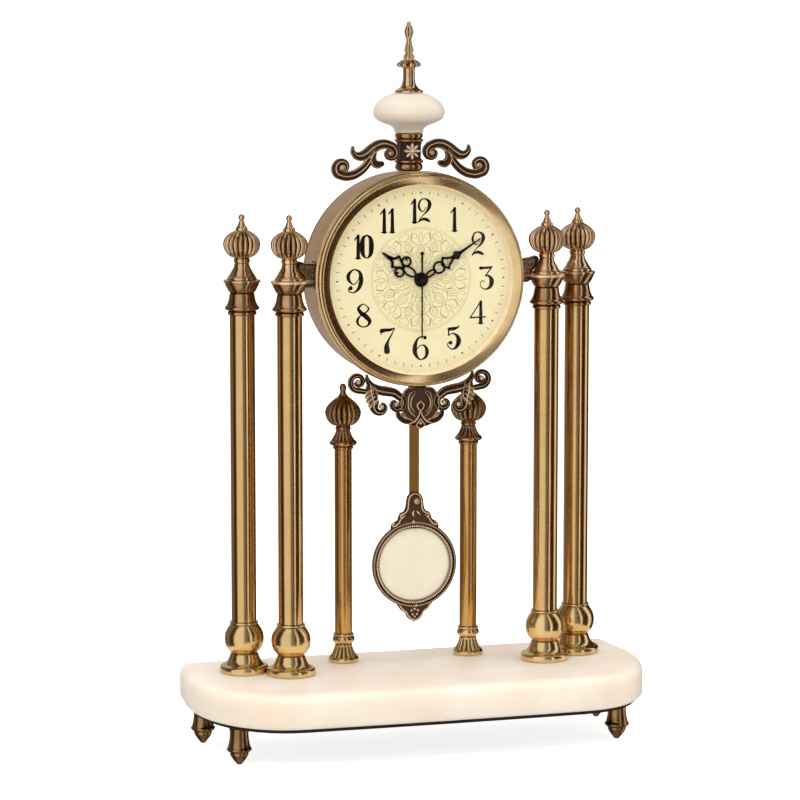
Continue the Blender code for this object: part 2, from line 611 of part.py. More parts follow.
def build_hands(finishes):
    """Black serpentine hands: pierced hour and minute hands and a slim sweep second hand."""
    centre = (0, 0, DIAL_HEIGHT)
    stack = [HOUR_PLANE - 0.03 * layer for layer in range(6)]
    hour = [boss(6.2, 2.5, stack[0], HAND_THICK + 0.1, 3.3, 11.0)]
    hour.append(hand_loop((0, 12.4), (3.2, 6.2), stack[1]))
    hour += [hand_loop((side * 5.4, 19.5), (3.7, 3.7), stack[2]) for side in (-1, 1)]
    hour.append(hand_kite([(0, 18.1), (2.6, 23.1), (5.2, 27.2), (1.4, 30.0), (0, 33.2)], stack[3]))
    hour.append(band([(0, 31.6), (0, 36.0), (0, 42.3)], [2.0, 1.3, 0.7], stack[4], stack[4] + HAND_THICK))
    fuse("hour_hand", hour, finishes["black"], centre, HOUR_TURN)

    stack = [MINUTE_PLANE - 0.03 * layer for layer in range(7)]
    minute = [boss(5.4, 1.3, stack[0], HAND_THICK + 0.1, 2.1, 12.4)]
    minute.append(hand_loop((0, 9.6), (2.1, 4.4), stack[1]))
    minute.append(hand_loop((0, 18.2), (4.6, 4.8), stack[2]))
    minute.append(hand_kite([(0, 21.0), (2.8, 23.2), (5.3, 25.3), (2.2, 29.4), (0, 33.4)], stack[3]))
    diamond = [(0, 32.4), (0, 36.0), (0, 38.6), (0, 40.6)]
    minute.append(band(diamond, [1.2, 5.4, 4.6, 1.0], stack[4], stack[4] + HAND_THICK))
    minute.append(band([(0, 40.0), (0, 50.0), (0, 61.0)], [1.5, 1.1, 0.6], stack[5], stack[5] + HAND_THICK))
    fuse("minute_hand", minute, finishes["black"], centre, MINUTE_TURN)

    plane = SECOND_PLANE
    cap_profile = [(1.6, plane - 0.5), (2.6, plane), (2.6, plane + 0.6), (0.9, plane + 0.6), (0.9, 14.0)]
    cap = facing_back(turn(cap_profile, 10))
    needle = band([(0, -22.0), (0, 0), (0, 49.0)], [1.1, 1.0, 0.6], plane + 0.05, plane + 0.45)
    ball = facing_back(turn([(1.7, plane - 0.1), (1.7, plane + 0.5)], 10))
    ball.transform(Matrix.Translation((0, 0, -22.0)))
    fuse("second_hand", [cap, needle, ball], finishes["black"], centre, SECOND_TURN)


def build_brackets(finishes):
    """Cast arms from the drum to the inner columns, each with an eye clamped under a finial."""
    column_x, column_y = LARGE_COLUMNS["column_inner_right"]
    bore = LARGE_ROD_RADIUS + ROD_CLEARANCE
    bottom = MARBLE_TOP + RING_PLATE_BOTTOM
    top = bottom + RING_PLATE_THICK
    saddle = arc((0, DIAL_HEIGHT), (DRUM_RADIUS + SEAT_GAP,) * 2, -4, 10.5, 4)
    saddle += arc((0, DIAL_HEIGHT), (DRUM_RADIUS + 2.6,) * 2, 10.5, -4, 4)
    web = [(89.6, bottom - 4.6), (97.6, bottom - 4.6), (97.6, top + 0.2), (99.4, top + 3.2)]
    web += [(103.2, top + 7.6), (105.4, top + 12.4), (105.2, top + 15.2)]
    web += [(98.0, top + 13.2), (89.6, top + 12.8)]
    for name, side in (("side_bracket_left", -1), ("side_bracket_right", 1)):
        eye_profile = [(bore, bottom), (RING_PLATE_RADIUS, bottom), (RING_PLATE_RADIUS, top), (bore, top)]
        eye = turn(eye_profile, hollow=True)
        eye.transform(Matrix.Translation((side * column_x, column_y, 0)))
        corners = [(side * x, y) for x, y in ((89.0, 14.2), (104.0, 12.4), (104.0, 19.0), (89.0, 24.4))]
        ledge = loft([(bottom + 0.1, corners), (top - 0.1, corners)])
        pad = plate([(side * x, z) for x, z in saddle], 13.4, 25.6)
        rib = plate([(side * x, z) for x, z in web], 14.8, 18.4)
        fuse(name, [eye, ledge, pad, rib], finishes["bronze"])


def build_crest(finishes):
    """Cast block on the drum with scrolls at its sides, a marble ball and a slender finial."""
    place = (0, FINIAL_Y, MARBLE_TOP)
    foot = [(2.9, 419.0, BORE_SIDES), (9.0, 419.0), (11.6, 420.6), (11.6, 424.6)]
    foot += [(10.4, 425.6), (12.2, 426.4), (12.2, 428.0)]
    block = [(9.7, 428.4, 8, 0, True), (9.7, 443.6, 8, 0, True)]
    head = [(12.2, 444.0), (12.2, 445.4), (10.6, 446.0), (11.6, 447.2), (11.6, 451.0)]
    head.append((2.9, 451.0, BORE_SIDES))
    add_object("crest_block", turn(foot + block + head, hollow=True), finishes["bronze"], place)
    ball = [(2.9, 451.3, BORE_SIDES), (11.8, 451.3), (12.4, 454.8), (20.0, 458.6), (27.8, 463.2)]
    ball += [(29.9, 468.8), (27.6, 475.3), (11.8, 484.4), (2.9, 484.4, BORE_SIDES)]
    add_object("marble_ball", turn(ball, 16, True), finishes["marble"], place)
    stem = [(2.3, 421.0, BORE_SIDES), (2.3, 484.7, BORE_SIDES), (11.8, 484.7), (11.8, 486.4), (7.4, 489.0)]
    stem += [(5.0, 493.4), (4.9, 504.0)]
    canopy = [(8.6, 506.0, 14, 0.12), (10.3, 509.6, 14, 0.16), (6.0, 512.4, 14, 0.1)]
    canopy += [(1.6, 512.4, BORE_SIDES), (1.6, 516.5, BORE_SIDES)]
    add_object("finial_stem", turn(stem + canopy), finishes["bronze"], place)
    spire = [(2.0, 517.6, BORE_SIDES), (2.0, 512.7, BORE_SIDES), (4.0, 512.7), (4.2, 515.6)]
    spire += [(3.0, 516.6), (3.7, 519.4), (3.2, 522.4), (2.2, 527.4), (2.4, 529.6)]
    spire += [(3.6, 535.4), (2.4, 539.6), (0.6, 544.0)]
    add_object("finial_spire", turn(spire, 8), finishes["bronze"], place)
    for name, side in (("crest_scroll_left", 1), ("crest_scroll_right", -1)):
        fuse(name, crest_scroll(side), finishes["bronze"], (0, CREST_PLANE, MARBLE_TOP))


def crest_scroll(side):
    """A C scroll that springs from the block and an S scroll that branches off below it."""
    inner_eye = (-17.6, 434.4)
    outer_eye = (-59.2, 422.6)
    arch = [(-49.6, 441.6), (-46.4, 433.6), (-38.0, 432.4), (-31.6, 438.8), (-23.0, 443.8), (-14.6, 441.4)]
    arch_path = smooth_path(arch, 2)
    volute = spiral(inner_eye, 5.6, 2.6, 62, -250, 8)
    branch = [(-33.0, 436.0), (-35.2, 426.6), (-42.6, 417.6), (-53.0, 413.6), (-63.4, 416.0)]
    branch_path = smooth_path(branch, 2)
    outer_volute = spiral(outer_eye, 7.0, 2.6, 218, -60, 8)
    lobe = smooth_path([(-31.8, 433.0), (-30.8, 426.8), (-27.8, 422.8), (-24.2, 424.2)], 2)
    shapes = [(arch_path + volute, [0.8, 4.6, 5.6, 5.2, 4.6, 4.2, 3.6, 2.8, 2.2], 0.0),
              (branch_path + outer_volute, [4.0, 5.4, 5.0, 4.2, 3.4, 2.4], 0.4),
              (lobe, [3.4, 5.4, 5.2, 3.2], 0.8)]
    bodies = []
    for path, widths, inset in shapes:
        placed = [(x * side, z) for x, z in path]
        bodies.append(band(placed, spread(widths, len(path)), inset - 3.2, 3.2 - inset))
    for eye, radius in ((inner_eye, 2.7), (outer_eye, 2.9)):
        bead = facing_back(turn([(radius, -2.6), (radius, 2.0)], 6))
        bead.transform(Matrix.Translation((eye[0] * side, 0, eye[1])))
        bodies.append(bead)
    return bodies


def build_lower_ornament(finishes):
    """Pierced scroll-work spray under the bezel, made of one side's scrolls and their mirror."""
    base = MARBLE_TOP
    half = []
    loop = [(51.0, 245.4), (50.8, 249.6), (55.6, 251.6), (60.2, 246.2), (57.0, 240.0), (43.0, 237.4)]
    half.append((smooth_path(loop, 2), [2.2, 3.2, 3.8, 4.4, 5.0, 5.6], 0.0))
    arm = smooth_path([(47.6, 247.6), (44.4, 242.6), (38.8, 239.2), (31.6, 238.0), (24.6, 236.8)], 2)
    arm += spiral((21.1, 226.3), 6.2, 2.2, 118, 420, 8)
    half.append((arm, [2.4, 5.0, 6.0, 6.0, 4.8, 4.0, 3.4, 2.4], 0.5))
    curl = smooth_path([(42.6, 237.6), (42.6, 233.0), (40.8, 227.6)], 2)
    curl += spiral((33.4, 223.4), 5.6, 2.2, 0, -250, 6)
    half.append((curl, [7.4, 7.4, 5.6, 4.2, 3.4, 2.6], 1.0))
    leaf = smooth_path([(2.6, 236.6), (9.6, 235.0), (14.6, 228.4), (13.0, 218.6), (4.4, 210.4)], 2)
    half.append((leaf, [4.0, 7.4, 8.6, 8.0, 5.4], 1.5))
    bodies = []
    for path, widths, inset in half:
        widths = spread(widths, len(path))
        for placed, layer in ((path, inset), (mirrored(path), inset + 0.12)):
            bodies.append(band(placed, widths, ORNAMENT_FRONT + layer, ORNAMENT_BACK - layer / 2))
    neck = [(-5.6, 239.2), (5.6, 239.2), (9.6, 226.0), (7.0, 214.0), (0, 204.6)]
    neck += [(-7.0, 214.0), (-9.6, 226.0)]
    bodies.append(plate(neck, ORNAMENT_FRONT + 2.2, ORNAMENT_BACK - 0.9))
    for eye in ((21.1, 226.3), (33.4, 223.4)):
        for side in (-1, 1):
            bead = facing_back(turn([(2.4, ORNAMENT_FRONT + 1.4), (2.4, ORNAMENT_BACK - 1.2)], 6))
            bead.transform(Matrix.Translation((eye[0] * side, 0, eye[1])))
            bodies.append(bead)
    drum_bottom = DIAL_HEIGHT - MARBLE_TOP - DRUM_RADIUS
    tab = [(-6.4, drum_bottom - 3.2), (6.4, drum_bottom - 3.2), (6.4, drum_bottom - SEAT_GAP),
           (-6.4, drum_bottom - SEAT_GAP)]
    bodies.append(plate(tab, BEZEL_BACK + SEAT_GAP, 23.6))
    stay = [(-5.0, 232.0), (5.0, 232.0), (5.0, drum_bottom - 3.0), (-5.0, drum_bottom - 3.0)]
    bodies.append(plate(stay, ORNAMENT_BACK - 2.6, 16.4))
    fuse("lower_ornament", bodies, finishes["bronze"], (0, 0, base))


def build_pendulum(finishes):
    """Flat rod on its pin and a framed disc bob; their origins lie on the pin's axis."""
    pivot = (0, 0, PIVOT_HEIGHT)
    half = ROD_WIDTH / 2
    rod_bottom = BOB_HEIGHT + BOB_RADIUS + 3 - PIVOT_HEIGHT
    outline = arc((0, 0), (half, half), 0, 180, 8) + [(-half, rod_bottom), (half, rod_bottom)]
    rod = plate(outline, PENDULUM_PLANE, PENDULUM_PLANE + ROD_THICK)
    rod_object = add_object("pendulum_rod", rod, finishes["rod"], pivot)
    eye = facing_back(turn([(1.5, PENDULUM_PLANE - 2), (1.5, PENDULUM_PLANE + 4)], 12))
    eye.transform(Matrix.Translation((0, 0, PIVOT_HEIGHT)))
    cut(rod_object, "rod_eye", [eye])

    drop = BOB_HEIGHT - PIVOT_HEIGHT
    ring = [(BOB_OPENING_RADIUS, 26.4), (31.6, 23.6), (33.4, 23.4), (34.3, 24.6), (35.6, 23.4)]
    ring += [(BOB_RADIUS, 25.0), (36.8, 28.9), (32.6, 28.9), (32.6, 26.4)]
    ring_body = facing_back(turn(ring, 24, hollow=True))
    crest_side = [(21.4, 31.2), (20.4, 35.4), (16.8, 36.8), (14.8, 39.8), (13.8, 44.2), (10.4, 46.2)]
    crest_side += [(8.2, 50.0), (7.4, 56.8), (4.8, 60.8)]
    crest_outline = crest_side + [(0, 62.4)] + mirrored(reversed(crest_side))
    crest = plate(crest_outline, 23.9, PENDULUM_PLANE - SEAT_GAP)
    drop_side = [(16.8, -34.8), (13.4, -39.0), (8.6, -41.4), (6.4, -45.6)]
    drop_outline = [(x, z) for x, z in reversed(drop_side)] + mirrored(drop_side) + [(0, -49.4)]
    drop_plate = plate(drop_outline, 24.2, 27.4)
    rivet = facing_back(turn([(1.2, 21.6), (2.8, 22.8), (2.2, 24.4)], 10))
    rivet.transform(Matrix.Translation((1.6, 0, 54.6)))
    bodies = [ring_body, crest, drop_plate, rivet]
    for body in bodies:
        body.transform(Matrix.Translation((0, 0, drop)))
    fuse("bob_frame", bodies, finishes["bronze"], pivot)
    disc = facing_back(turn([(32.2, 26.7), (32.2, 28.3)], 24))
    disc.transform(Matrix.Translation((0, 0, drop)))
    add_object("bob_disc", disc, finishes["dial"], pivot)


def make_finishes():
    return {
        "marble": material("cream_marble", (0.87, 0.8, 0.68), 0.0, 0.22),
        "board": material("dark_board", (0.035, 0.022, 0.014), 0.0, 0.8),
        "brass": material("brushed_brass", (0.42, 0.27, 0.1), 1.0, 0.32),
        "light_brass": material("light_brass", (0.55, 0.42, 0.2), 1.0, 0.3),
        "antique_brass": material("antique_brass", (0.3, 0.18, 0.08), 1.0, 0.42),
        "bronze": material("cast_bronze", (0.2, 0.11, 0.05), 1.0, 0.38),
        "rod": material("pendulum_brass", (0.33, 0.17, 0.05), 0.8, 0.5),
        "steel": material("zinc_steel", (0.5, 0.5, 0.5), 1.0, 0.35),
        "dial": material("cream_dial", (0.88, 0.8, 0.5), 0.0, 0.5),
        "glass": material("clear_glass", (1.0, 1.0, 1.0), 0.0, 0.05, 0.15),
        "black": material("black_enamel", (0.012, 0.01, 0.009), 0.0, 0.35),
        "plastic": material("black_plastic", (0.02, 0.02, 0.02), 0.0, 0.5),
        "battery": material("battery_sleeve", (0.25, 0.25, 0.27), 0.3, 0.4),
    }


def main():
    for old in list(bpy.data.objects):
        bpy.data.objects.remove(old)
    finishes = make_finishes()
    build_base(finishes)
    build_columns(finishes)
    build_case(finishes)
    build_movement(finishes)
    build_hands(finishes)
    build_brackets(finishes)
    build_crest(finishes)
    build_lower_ornament(finishes)
    build_pendulum(finishes)


main()
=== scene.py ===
"""Looks of the pillar mantel clock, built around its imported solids.

Sizes are in millimetres in the frame of the part: X to the right of the dial, Y to the back and
Z up from the ground. They turn to metres where a mesh is made.
"""
from __future__ import annotations

import logging
import math
from dataclasses import dataclass
from enum import Enum
from typing import Any, Iterable, Sequence

import bmesh
import bpy
import numpy as np
from mathutils import Matrix, Vector


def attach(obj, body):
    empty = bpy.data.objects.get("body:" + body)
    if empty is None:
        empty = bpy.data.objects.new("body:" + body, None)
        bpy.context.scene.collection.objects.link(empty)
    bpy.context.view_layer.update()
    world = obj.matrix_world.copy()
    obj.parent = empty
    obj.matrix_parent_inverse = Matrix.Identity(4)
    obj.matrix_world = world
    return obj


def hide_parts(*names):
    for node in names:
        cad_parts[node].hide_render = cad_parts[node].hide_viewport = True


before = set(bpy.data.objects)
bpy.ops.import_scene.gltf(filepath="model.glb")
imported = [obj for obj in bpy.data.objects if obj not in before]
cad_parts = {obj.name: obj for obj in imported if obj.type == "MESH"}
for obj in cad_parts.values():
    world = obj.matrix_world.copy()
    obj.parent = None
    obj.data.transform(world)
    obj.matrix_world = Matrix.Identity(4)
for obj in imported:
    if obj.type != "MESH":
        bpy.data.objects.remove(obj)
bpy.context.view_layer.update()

LOG = logging.getLogger("pillar_clock")
Point = tuple[float, float]
Mesh = bpy.types.Mesh
Node = bpy.types.Node
Socket = bpy.types.NodeSocket
Tree = bpy.types.NodeTree

MM = 0.001
# Height of the slab's top, which the columns and the crest are measured from
MARBLE_TOP = 65.5
DIAL_HEIGHT = 395.7
DIAL_CENTRE = Vector((0, 0, DIAL_HEIGHT))
# Points closer than this, in metres, become one
MERGE_DISTANCE = 2e-6
# Edges that turn more than this stay crisp
CRISP_EDGE = math.radians(42)
# Shortest edge, in millimetres, whose bend counts in full
SHORTEST_EDGE = 0.02
# Radius that stands for nought where a turned body closes on its axis
POLE_RADIUS = 0.004


class Grain(Enum):
    """Which way the tool marks of a finish run, as stretch factors of its noise in X, Y and Z."""

    DRAWN_UP = (1.0, 1.0, 0.012)
    TURNED_UPRIGHT = (0.03, 0.03, 1.0)
    TURNED_DIAL = (0.6, 1.0, 0.6)
    CAST = (1.0, 1.0, 1.0)


# Paths, profiles and meshes

def smooth(keys: Sequence[Sequence[float]], steps: int = 6) -> list[tuple[float, ...]]:
    """A Catmull-Rom curve through key points.

    Args:
        keys: The points to pass through, each with any number of values.
        steps: How many points each stretch gets.

    Returns:
        The points of the curve, both ends included.
    """
    rows = np.array(keys, dtype=float)
    rows = np.vstack([2 * rows[0] - rows[1], rows, 2 * rows[-1] - rows[-2]])
    points = []
    for before, start, end, after in zip(rows, rows[1:], rows[2:], rows[3:]):
        for step in range(steps):
            t = step / steps
            bend = 2 * before - 5 * start + 4 * end - after
            twist = 3 * start - before - 3 * end + after
            points.append(tuple((2 * start + (end - before) * t + bend * t * t + twist * t ** 3) / 2))
    return points + [tuple(rows[-2])]


def arc(centre: Point, radii: Point, start: float, end: float, steps: int) -> list[Point]:
    """Points of an ellipse from one angle to another.

    Args:
        centre: Its middle.
        radii: Its two half sizes.
        start: First angle in degrees.
        end: Last angle in degrees.
        steps: How many steps lie between them.

    Returns:
        The points, both ends included.
    """
    angles = [math.radians(start + (end - start) * step / steps) for step in range(steps + 1)]
    return [(centre[0] + radii[0] * math.cos(a), centre[1] + radii[1] * math.sin(a)) for a in angles]


def oval(centre: Point, radii: Point, steps: int) -> list[Point]:
    """Points right round an ellipse."""
    return arc(centre, radii, 0, 360, steps)[:-1]


def spiral(centre: Point, outer: float, inner: float, start: float, end: float, steps: int) -> list[Point]:
    """Points of a spiral that closes in evenly on its eye.

    Args:
        centre: The eye.
        outer: Radius at the start.
        inner: Radius at the end.
        start: First angle in degrees.
        end: Last angle in degrees.
        steps: How many steps lie between them.

    Returns:
        The points, both ends included.
    """
    points = []
    for step in range(steps + 1):
        share = step / steps
        angle = math.radians(start + (end - start) * share)
        radius = outer + (inner - outer) * share
        points.append((centre[0] + radius * math.cos(angle), centre[1] + radius * math.sin(angle)))
    return points


def eased(points: Sequence[Point], radius: float, steps: int = 3) -> list[Point]:
    """Round the corners of an open outline, as a tool or a polishing wheel leaves them.

    Args:
        points: The outline.
        radius: How far from a corner its rounding starts, at most 0.45 of an edge.
        steps: How many steps a rounding has.

    Returns:
        The outline with each corner sharper than 25 degrees rounded.
    """
    result = [points[0]]
    for before, corner, after in zip(points, points[1:], points[2:]):
        back = Vector(before[:2]) - Vector(corner[:2])
        ahead = Vector(after[:2]) - Vector(corner[:2])
        if back.length < 1e-6 or ahead.length < 1e-6 or back.angle(ahead) > math.radians(155):
            result.append(corner)
            continue
        first = Vector(corner[:2]) + back.normalized() * min(radius, 0.45 * back.length)
        last = Vector(corner[:2]) + ahead.normalized() * min(radius, 0.45 * ahead.length)
        for step in range(steps + 1):
            t = step / steps
            spot = first * (1 - t) ** 2 + Vector(corner[:2]) * 2 * t * (1 - t) + last * t * t
            result.append((spot.x, spot.y))
    return result + [points[-1]]


def mirrored(points: Iterable[Sequence[float]]) -> list[tuple[float, ...]]:
    """The same points on the other side of the middle plane."""
    return [(-point[0], *point[1:]) for point in points]


def whole(half: Sequence[Point]) -> list[tuple[float, ...]]:
    """The outline whose one half is given, down to its end on the middle plane."""
    return [*half, *mirrored(reversed(half[:-1]))]


def oblong(half_width: float, start: float, end: float) -> list[Point]:
    """Outline of an oblong about the middle plane."""
    return [(-half_width, start), (half_width, start), (half_width, end), (-half_width, end)]


def rounded_box(half: Point, radius: float, steps: int) -> list[Point]:
    """Outline of a box with round corners about the origin.

    Args:
        half: Half the distances between the centres of its corners.
        radius: Radius of its corners.
        steps: How many steps a corner has.

    Returns:
        The points.
    """
    points = []
    for quarter, (sign_x, sign_y) in enumerate(((1, 1), (-1, 1), (-1, -1), (1, -1))):
        centre = (sign_x * half[0], sign_y * half[1])
        points += arc(centre, (radius, radius), 90 * quarter, 90 * quarter + 90, steps)
    return points


class Mould:
    """Points and faces of one piece while it is made, in millimetres."""

    def __init__(self) -> None:
        """Start with an empty mould."""
        self.points: list[Vector] = []
        self.faces: list[tuple[int, ...]] = []

    def add(self, other: Mould, matrix: Matrix | None = None) -> Mould:
        """Add another mould's shape to this one.

        Args:
            other: The shape to add.
            matrix: Where it goes.

        Returns:
            This mould.
        """
        start = len(self.points)
        self.points += [matrix @ p if matrix else p.copy() for p in other.points]
        self.faces += [tuple(start + index for index in face) for face in other.faces]
        return self

    def moved(self, x: float = 0, y: float = 0, z: float = 0) -> Mould:
        """This shape shifted along the axes."""
        return Mould().add(self, Matrix.Translation((x, y, z)))

    def flipped(self) -> Mould:
        """This shape's mirror image on the other side of the middle plane."""
        return Mould().add(self, Matrix.Scale(-1, 4, (1, 0, 0)))

    def facing(self) -> Mould:
        """This upright turned shape laid down so that its heights run to the back."""
        return Mould().add(self, Matrix.Rotation(math.radians(-90), 4, "X"))

    def skin(self, rings: Sequence[Sequence[Vector]], loop: bool = False, capped: bool = True) -> Mould:
        """Lay a skin over rings that all have the same number of points.

        Args:
            rings: The closed rings, in order.
            loop: Whether the last ring joins the first.
            capped: Whether the two ends of an open skin are closed.

        Returns:
            This mould.
        """
        start = len(self.points)
        size = len(rings[0])
        for ring in rings:
            self.points += [Vector(point) for point in ring]
        count = len(rings)
        for index in range(count if loop else count - 1):
            low = start + index * size
            high = start + (index + 1) % count * size
            for side in range(size):
                following = (side + 1) % size
                self.faces.append((low + side, low + following, high + following, high + side))
        if capped and not loop:
            self.faces.append(tuple(start + size - 1 - side for side in range(size)))
            self.faces.append(tuple(start + (count - 1) * size + side for side in range(size)))
        return self

    def mesh(self, name: str) -> Mesh:
        """Turn the mould into a smooth-shaded mesh in metres.

        Args:
            name: The mesh's name.

        Returns:
            The mesh, closed and with its faces outwards.
        """
        mesh = bpy.data.meshes.new(name)
        mesh.from_pydata([tuple(point * MM) for point in self.points], [], self.faces)
        bm = bmesh.new()
        bm.from_mesh(mesh)
        bmesh.ops.remove_doubles(bm, verts=bm.verts, dist=MERGE_DISTANCE)
        bmesh.ops.recalc_face_normals(bm, faces=bm.faces)
        bm.to_mesh(mesh)
        bm.free()
        mesh.shade_smooth()
        mesh.set_sharp_from_angle(angle=CRISP_EDGE)
        return mesh


def lathe(profile: Sequence[Point], sides: int = 64, loop: bool = False) -> Mould:
    """A turned body about Z.

    Args:
        profile: Radius and height pairs from one end to the other.
        sides: How many sides a full turn has.
        loop: Whether the profile closes on itself, as on a ring.

    Returns:
        The body.
    """
    turns = [2 * math.pi * side / sides for side in range(sides)]
    rings = []
    for radius, height in profile:
        reach = max(radius, POLE_RADIUS)
        rings.append([Vector((reach * math.cos(a), reach * math.sin(a), height)) for a in turns])
    return Mould().skin(rings, loop=loop)


def hoop(profile: Sequence[Point], sides: int, ease: float) -> Mould:
    """A turned ring about Z whose profile closes on itself, with its corners rounded."""
    return lathe(eased([*profile, profile[0]], ease)[:-1], sides, loop=True)


def prism(outline: Sequence[Point], low: float, high: float) -> Mould:
    """A block whose outline is seen from above, between two heights."""
    return Mould().skin([[Vector((x, y, z)) for x, y in outline] for z in (low, high)])


def extruded(outline: Sequence[Point], front: float, back: float, ease: float = 0.0) -> Mould:
    """A flat plate whose outline is seen from the front.

    Args:
        outline: Closed outline in X and Z.
        front: Depth of its front face.
        back: Depth of its back face.
        ease: How far its edges are rounded.

    Returns:
        The plate.
    """
    middle = Vector((sum(x for x, _ in outline), sum(z for _, z in outline))) / len(outline)
    levels = [(0.0, front), (0.0, back)]
    if ease:
        levels = [(ease, front), (0.3 * ease, front + 0.3 * ease), (0.0, front + ease)]
        levels += [(0.0, back - ease), (0.3 * ease, back - 0.3 * ease), (ease, back)]
    rings = []
    for inset, depth in levels:
        ring = []
        for x, z in outline:
            away = Vector((x, z)) - middle
            spot = middle + away * max(0.0, 1 - inset / max(away.length, 1e-6))
            ring.append(Vector((spot.x, depth, spot.y)))
        rings.append(ring)
    return Mould().skin(rings)


class Section(Enum):
    """Cross-sections of a strap: places across its width and how far each stands forward."""

    FLAT = ((-1.0, 0.0), (-1.0, 1.0), (1.0, 1.0), (1.0, 0.0))
    ROUND = ((-1.0, 0.1), (-0.96, 0.45), (-0.8, 0.74), (-0.5, 0.93), (0.0, 1.0), (0.5, 0.93),
             (0.8, 0.74), (0.96, 0.45), (1.0, 0.1))
    ROLLED = ((-1.0, 0.05), (-1.0, 0.62), (-0.95, 0.88), (-0.84, 1.0), (-0.72, 0.93), (-0.58, 0.62),
              (-0.34, 0.44), (0.0, 0.38), (0.34, 0.44), (0.58, 0.62), (0.72, 0.93), (0.84, 1.0),
              (0.95, 0.88), (1.0, 0.62), (1.0, 0.05))
    RIDGED = ((-1.0, 0.05), (-1.0, 0.5), (-0.94, 0.72), (-0.84, 0.8), (-0.74, 0.72), (-0.6, 0.52),
              (-0.4, 0.44), (-0.16, 0.52), (-0.04, 0.78), (0.05, 0.96), (0.13, 1.0), (0.21, 0.96),
              (0.3, 0.76), (0.46, 0.54), (0.66, 0.48), (0.84, 0.6), (0.93, 0.66), (0.99, 0.5), (1.0, 0.05))


# Places across a strap's plain back, close enough to its edges that the wear and painted shade mark stays on
# them
FLAT_BACK = (1.0, 0.6, -0.6, -1.0)


def strap(path: Sequence[Point], widths: Sequence[float], front: float, back: float,
          section: Section = Section.ROUND, closed: bool = False, both: bool = False) -> Mould:
    """A strap of changing width along a path in X and Z, with round ends.

    Args:
        path: The line of its middle.
        widths: Its widths at even steps along the path, or the one that it keeps.
        front: Depth of its highest points.
        back: Depth of its back.
        section: The shape across it.
        closed: Whether the path closes on itself.
        both: Whether the back repeats the front's relief.

    Returns:
        The strap.
    """
    count = len(path)
    spots = []
    for index, ((x, z), width) in enumerate(zip(path, evenly(widths, count))):
        before = path[index - 1] if index or closed else path[0]
        after = path[(index + 1) % count] if index + 1 < count or closed else path[-1]
        along = Vector((after[0] - before[0], after[1] - before[1])).normalized()
        spots.append((Vector((x, z)), along, width / 2))
    if not closed:
        spots = round_end(spots, -1) + spots + round_end(spots[::-1], 1)[::-1]
    base = (front + back) / 2 if both else back
    row = [(across, base + (front - base) * lift) for across, lift in section.value]
    if both:
        row += [(across, base + (back - base) * lift) for across, lift in reversed(section.value)]
    else:
        row += [(across, back) for across in FLAT_BACK]
    rings = []
    for spot, along, half in spots:
        side = Vector((-along.y, along.x))
        rings.append([Vector((spot.x + side.x * half * across, depth, spot.y + side.y * half * across))
                      for across, depth in row])
    return Mould().skin(rings, loop=closed)


def drawn(rows: Sequence[Sequence[float]], front: float, back: float, section: Section = Section.FLAT,
          both: bool = False) -> Mould:
    """A strap along rows of X, height and width."""
    return strap([(x, z) for x, z, _ in rows], [width for _, _, width in rows], front, back, section,
                 both=both)


def round_end(spots: Sequence[tuple[Vector, Vector, float]], sign: int) -> list[tuple[Vector, Vector, float]]:
    """Extra places that draw a strap's first end out to a round tip.

    Args:
        spots: Places along the strap, from the end inwards.
        sign: Minus one where the strap runs away from this end, else one.

    Returns:
        The extra places, from the tip inwards.
    """
    spot, along, half = spots[0]
    tips = []
    for angle in (88, 66, 44, 22):
        turn = math.radians(angle)
        tips.append((spot + along * sign * half * math.sin(turn) * 0.9, along, half * math.cos(turn)))
    return tips


def evenly(values: Sequence[float], count: int) -> list[float]:
    """The listed values spread over a number of points."""
    return list(np.interp(np.linspace(0, len(values) - 1, count), range(len(values)), values))


# Wear and painted shade marks, finishes and pieces

def mark_wear(mesh: Mesh, reach: float = 1.1, passes: int = 3) -> None:
    """Write how far each point stands out, for the edges that a finish lightens, partly as wear and partly as
    painted highlight, and the hollows that it darkens, partly as patina and partly as painted shade.

    Args:
        mesh: The mesh, in metres.
        reach: Radius in millimetres of an edge that counts as fully rubbed and highlit.
        passes: How often the values are blended with their neighbours'.
    """
    count = len(mesh.vertices)
    places = np.empty(count * 3)
    mesh.vertices.foreach_get("co", places)
    places = places.reshape(-1, 3) / MM
    normals = np.empty(count * 3)
    mesh.vertex_normals.foreach_get("vector", normals)
    normals = normals.reshape(-1, 3)
    pairs = np.empty(len(mesh.edges) * 2, dtype=int)
    mesh.edges.foreach_get("vertices", pairs)
    first, second = pairs.reshape(-1, 2).T
    span = places[second] - places[first]
    length = np.maximum(np.linalg.norm(span, axis=1), SHORTEST_EDGE)
    bend = np.zeros(count)
    links = np.zeros(count)
    np.add.at(bend, first, -2 * (span * normals[first]).sum(axis=1) / length ** 2)
    np.add.at(bend, second, 2 * (span * normals[second]).sum(axis=1) / length ** 2)
    np.add.at(links, first, 1)
    np.add.at(links, second, 1)
    wear_and_shade = np.tanh(bend / np.maximum(links, 1) * reach)
    for _ in range(passes):
        total = wear_and_shade.copy()
        np.add.at(total, first, wear_and_shade[second])
        np.add.at(total, second, wear_and_shade[first])
        wear_and_shade = total / (links + 1)
    # Stored as the wear and painted shade mark: high on raised edges, which get painted highlight, low in
    # hollows, which get painted shade
    layer = mesh.attributes.new("wear_and_shade", "FLOAT", "POINT")
    layer.data.foreach_set("value", np.clip(0.5 + 0.5 * wear_and_shade, 0, 1))


def linear(colour: str) -> tuple[float, float, float, float]:
    """Turn an sRGB hex colour to the linear values that a socket takes.

    Args:
        colour: The colour, as # and six hex digits.

    Returns:
        Red, green, blue and full alpha.
    """
    parts = [int(colour[index:index + 2], 16) / 255 for index in (1, 3, 5)]
    red, green, blue = [p / 12.92 if p <= 0.04045 else ((p + 0.055) / 1.055) ** 2.4 for p in parts]
    return red, green, blue, 1.0


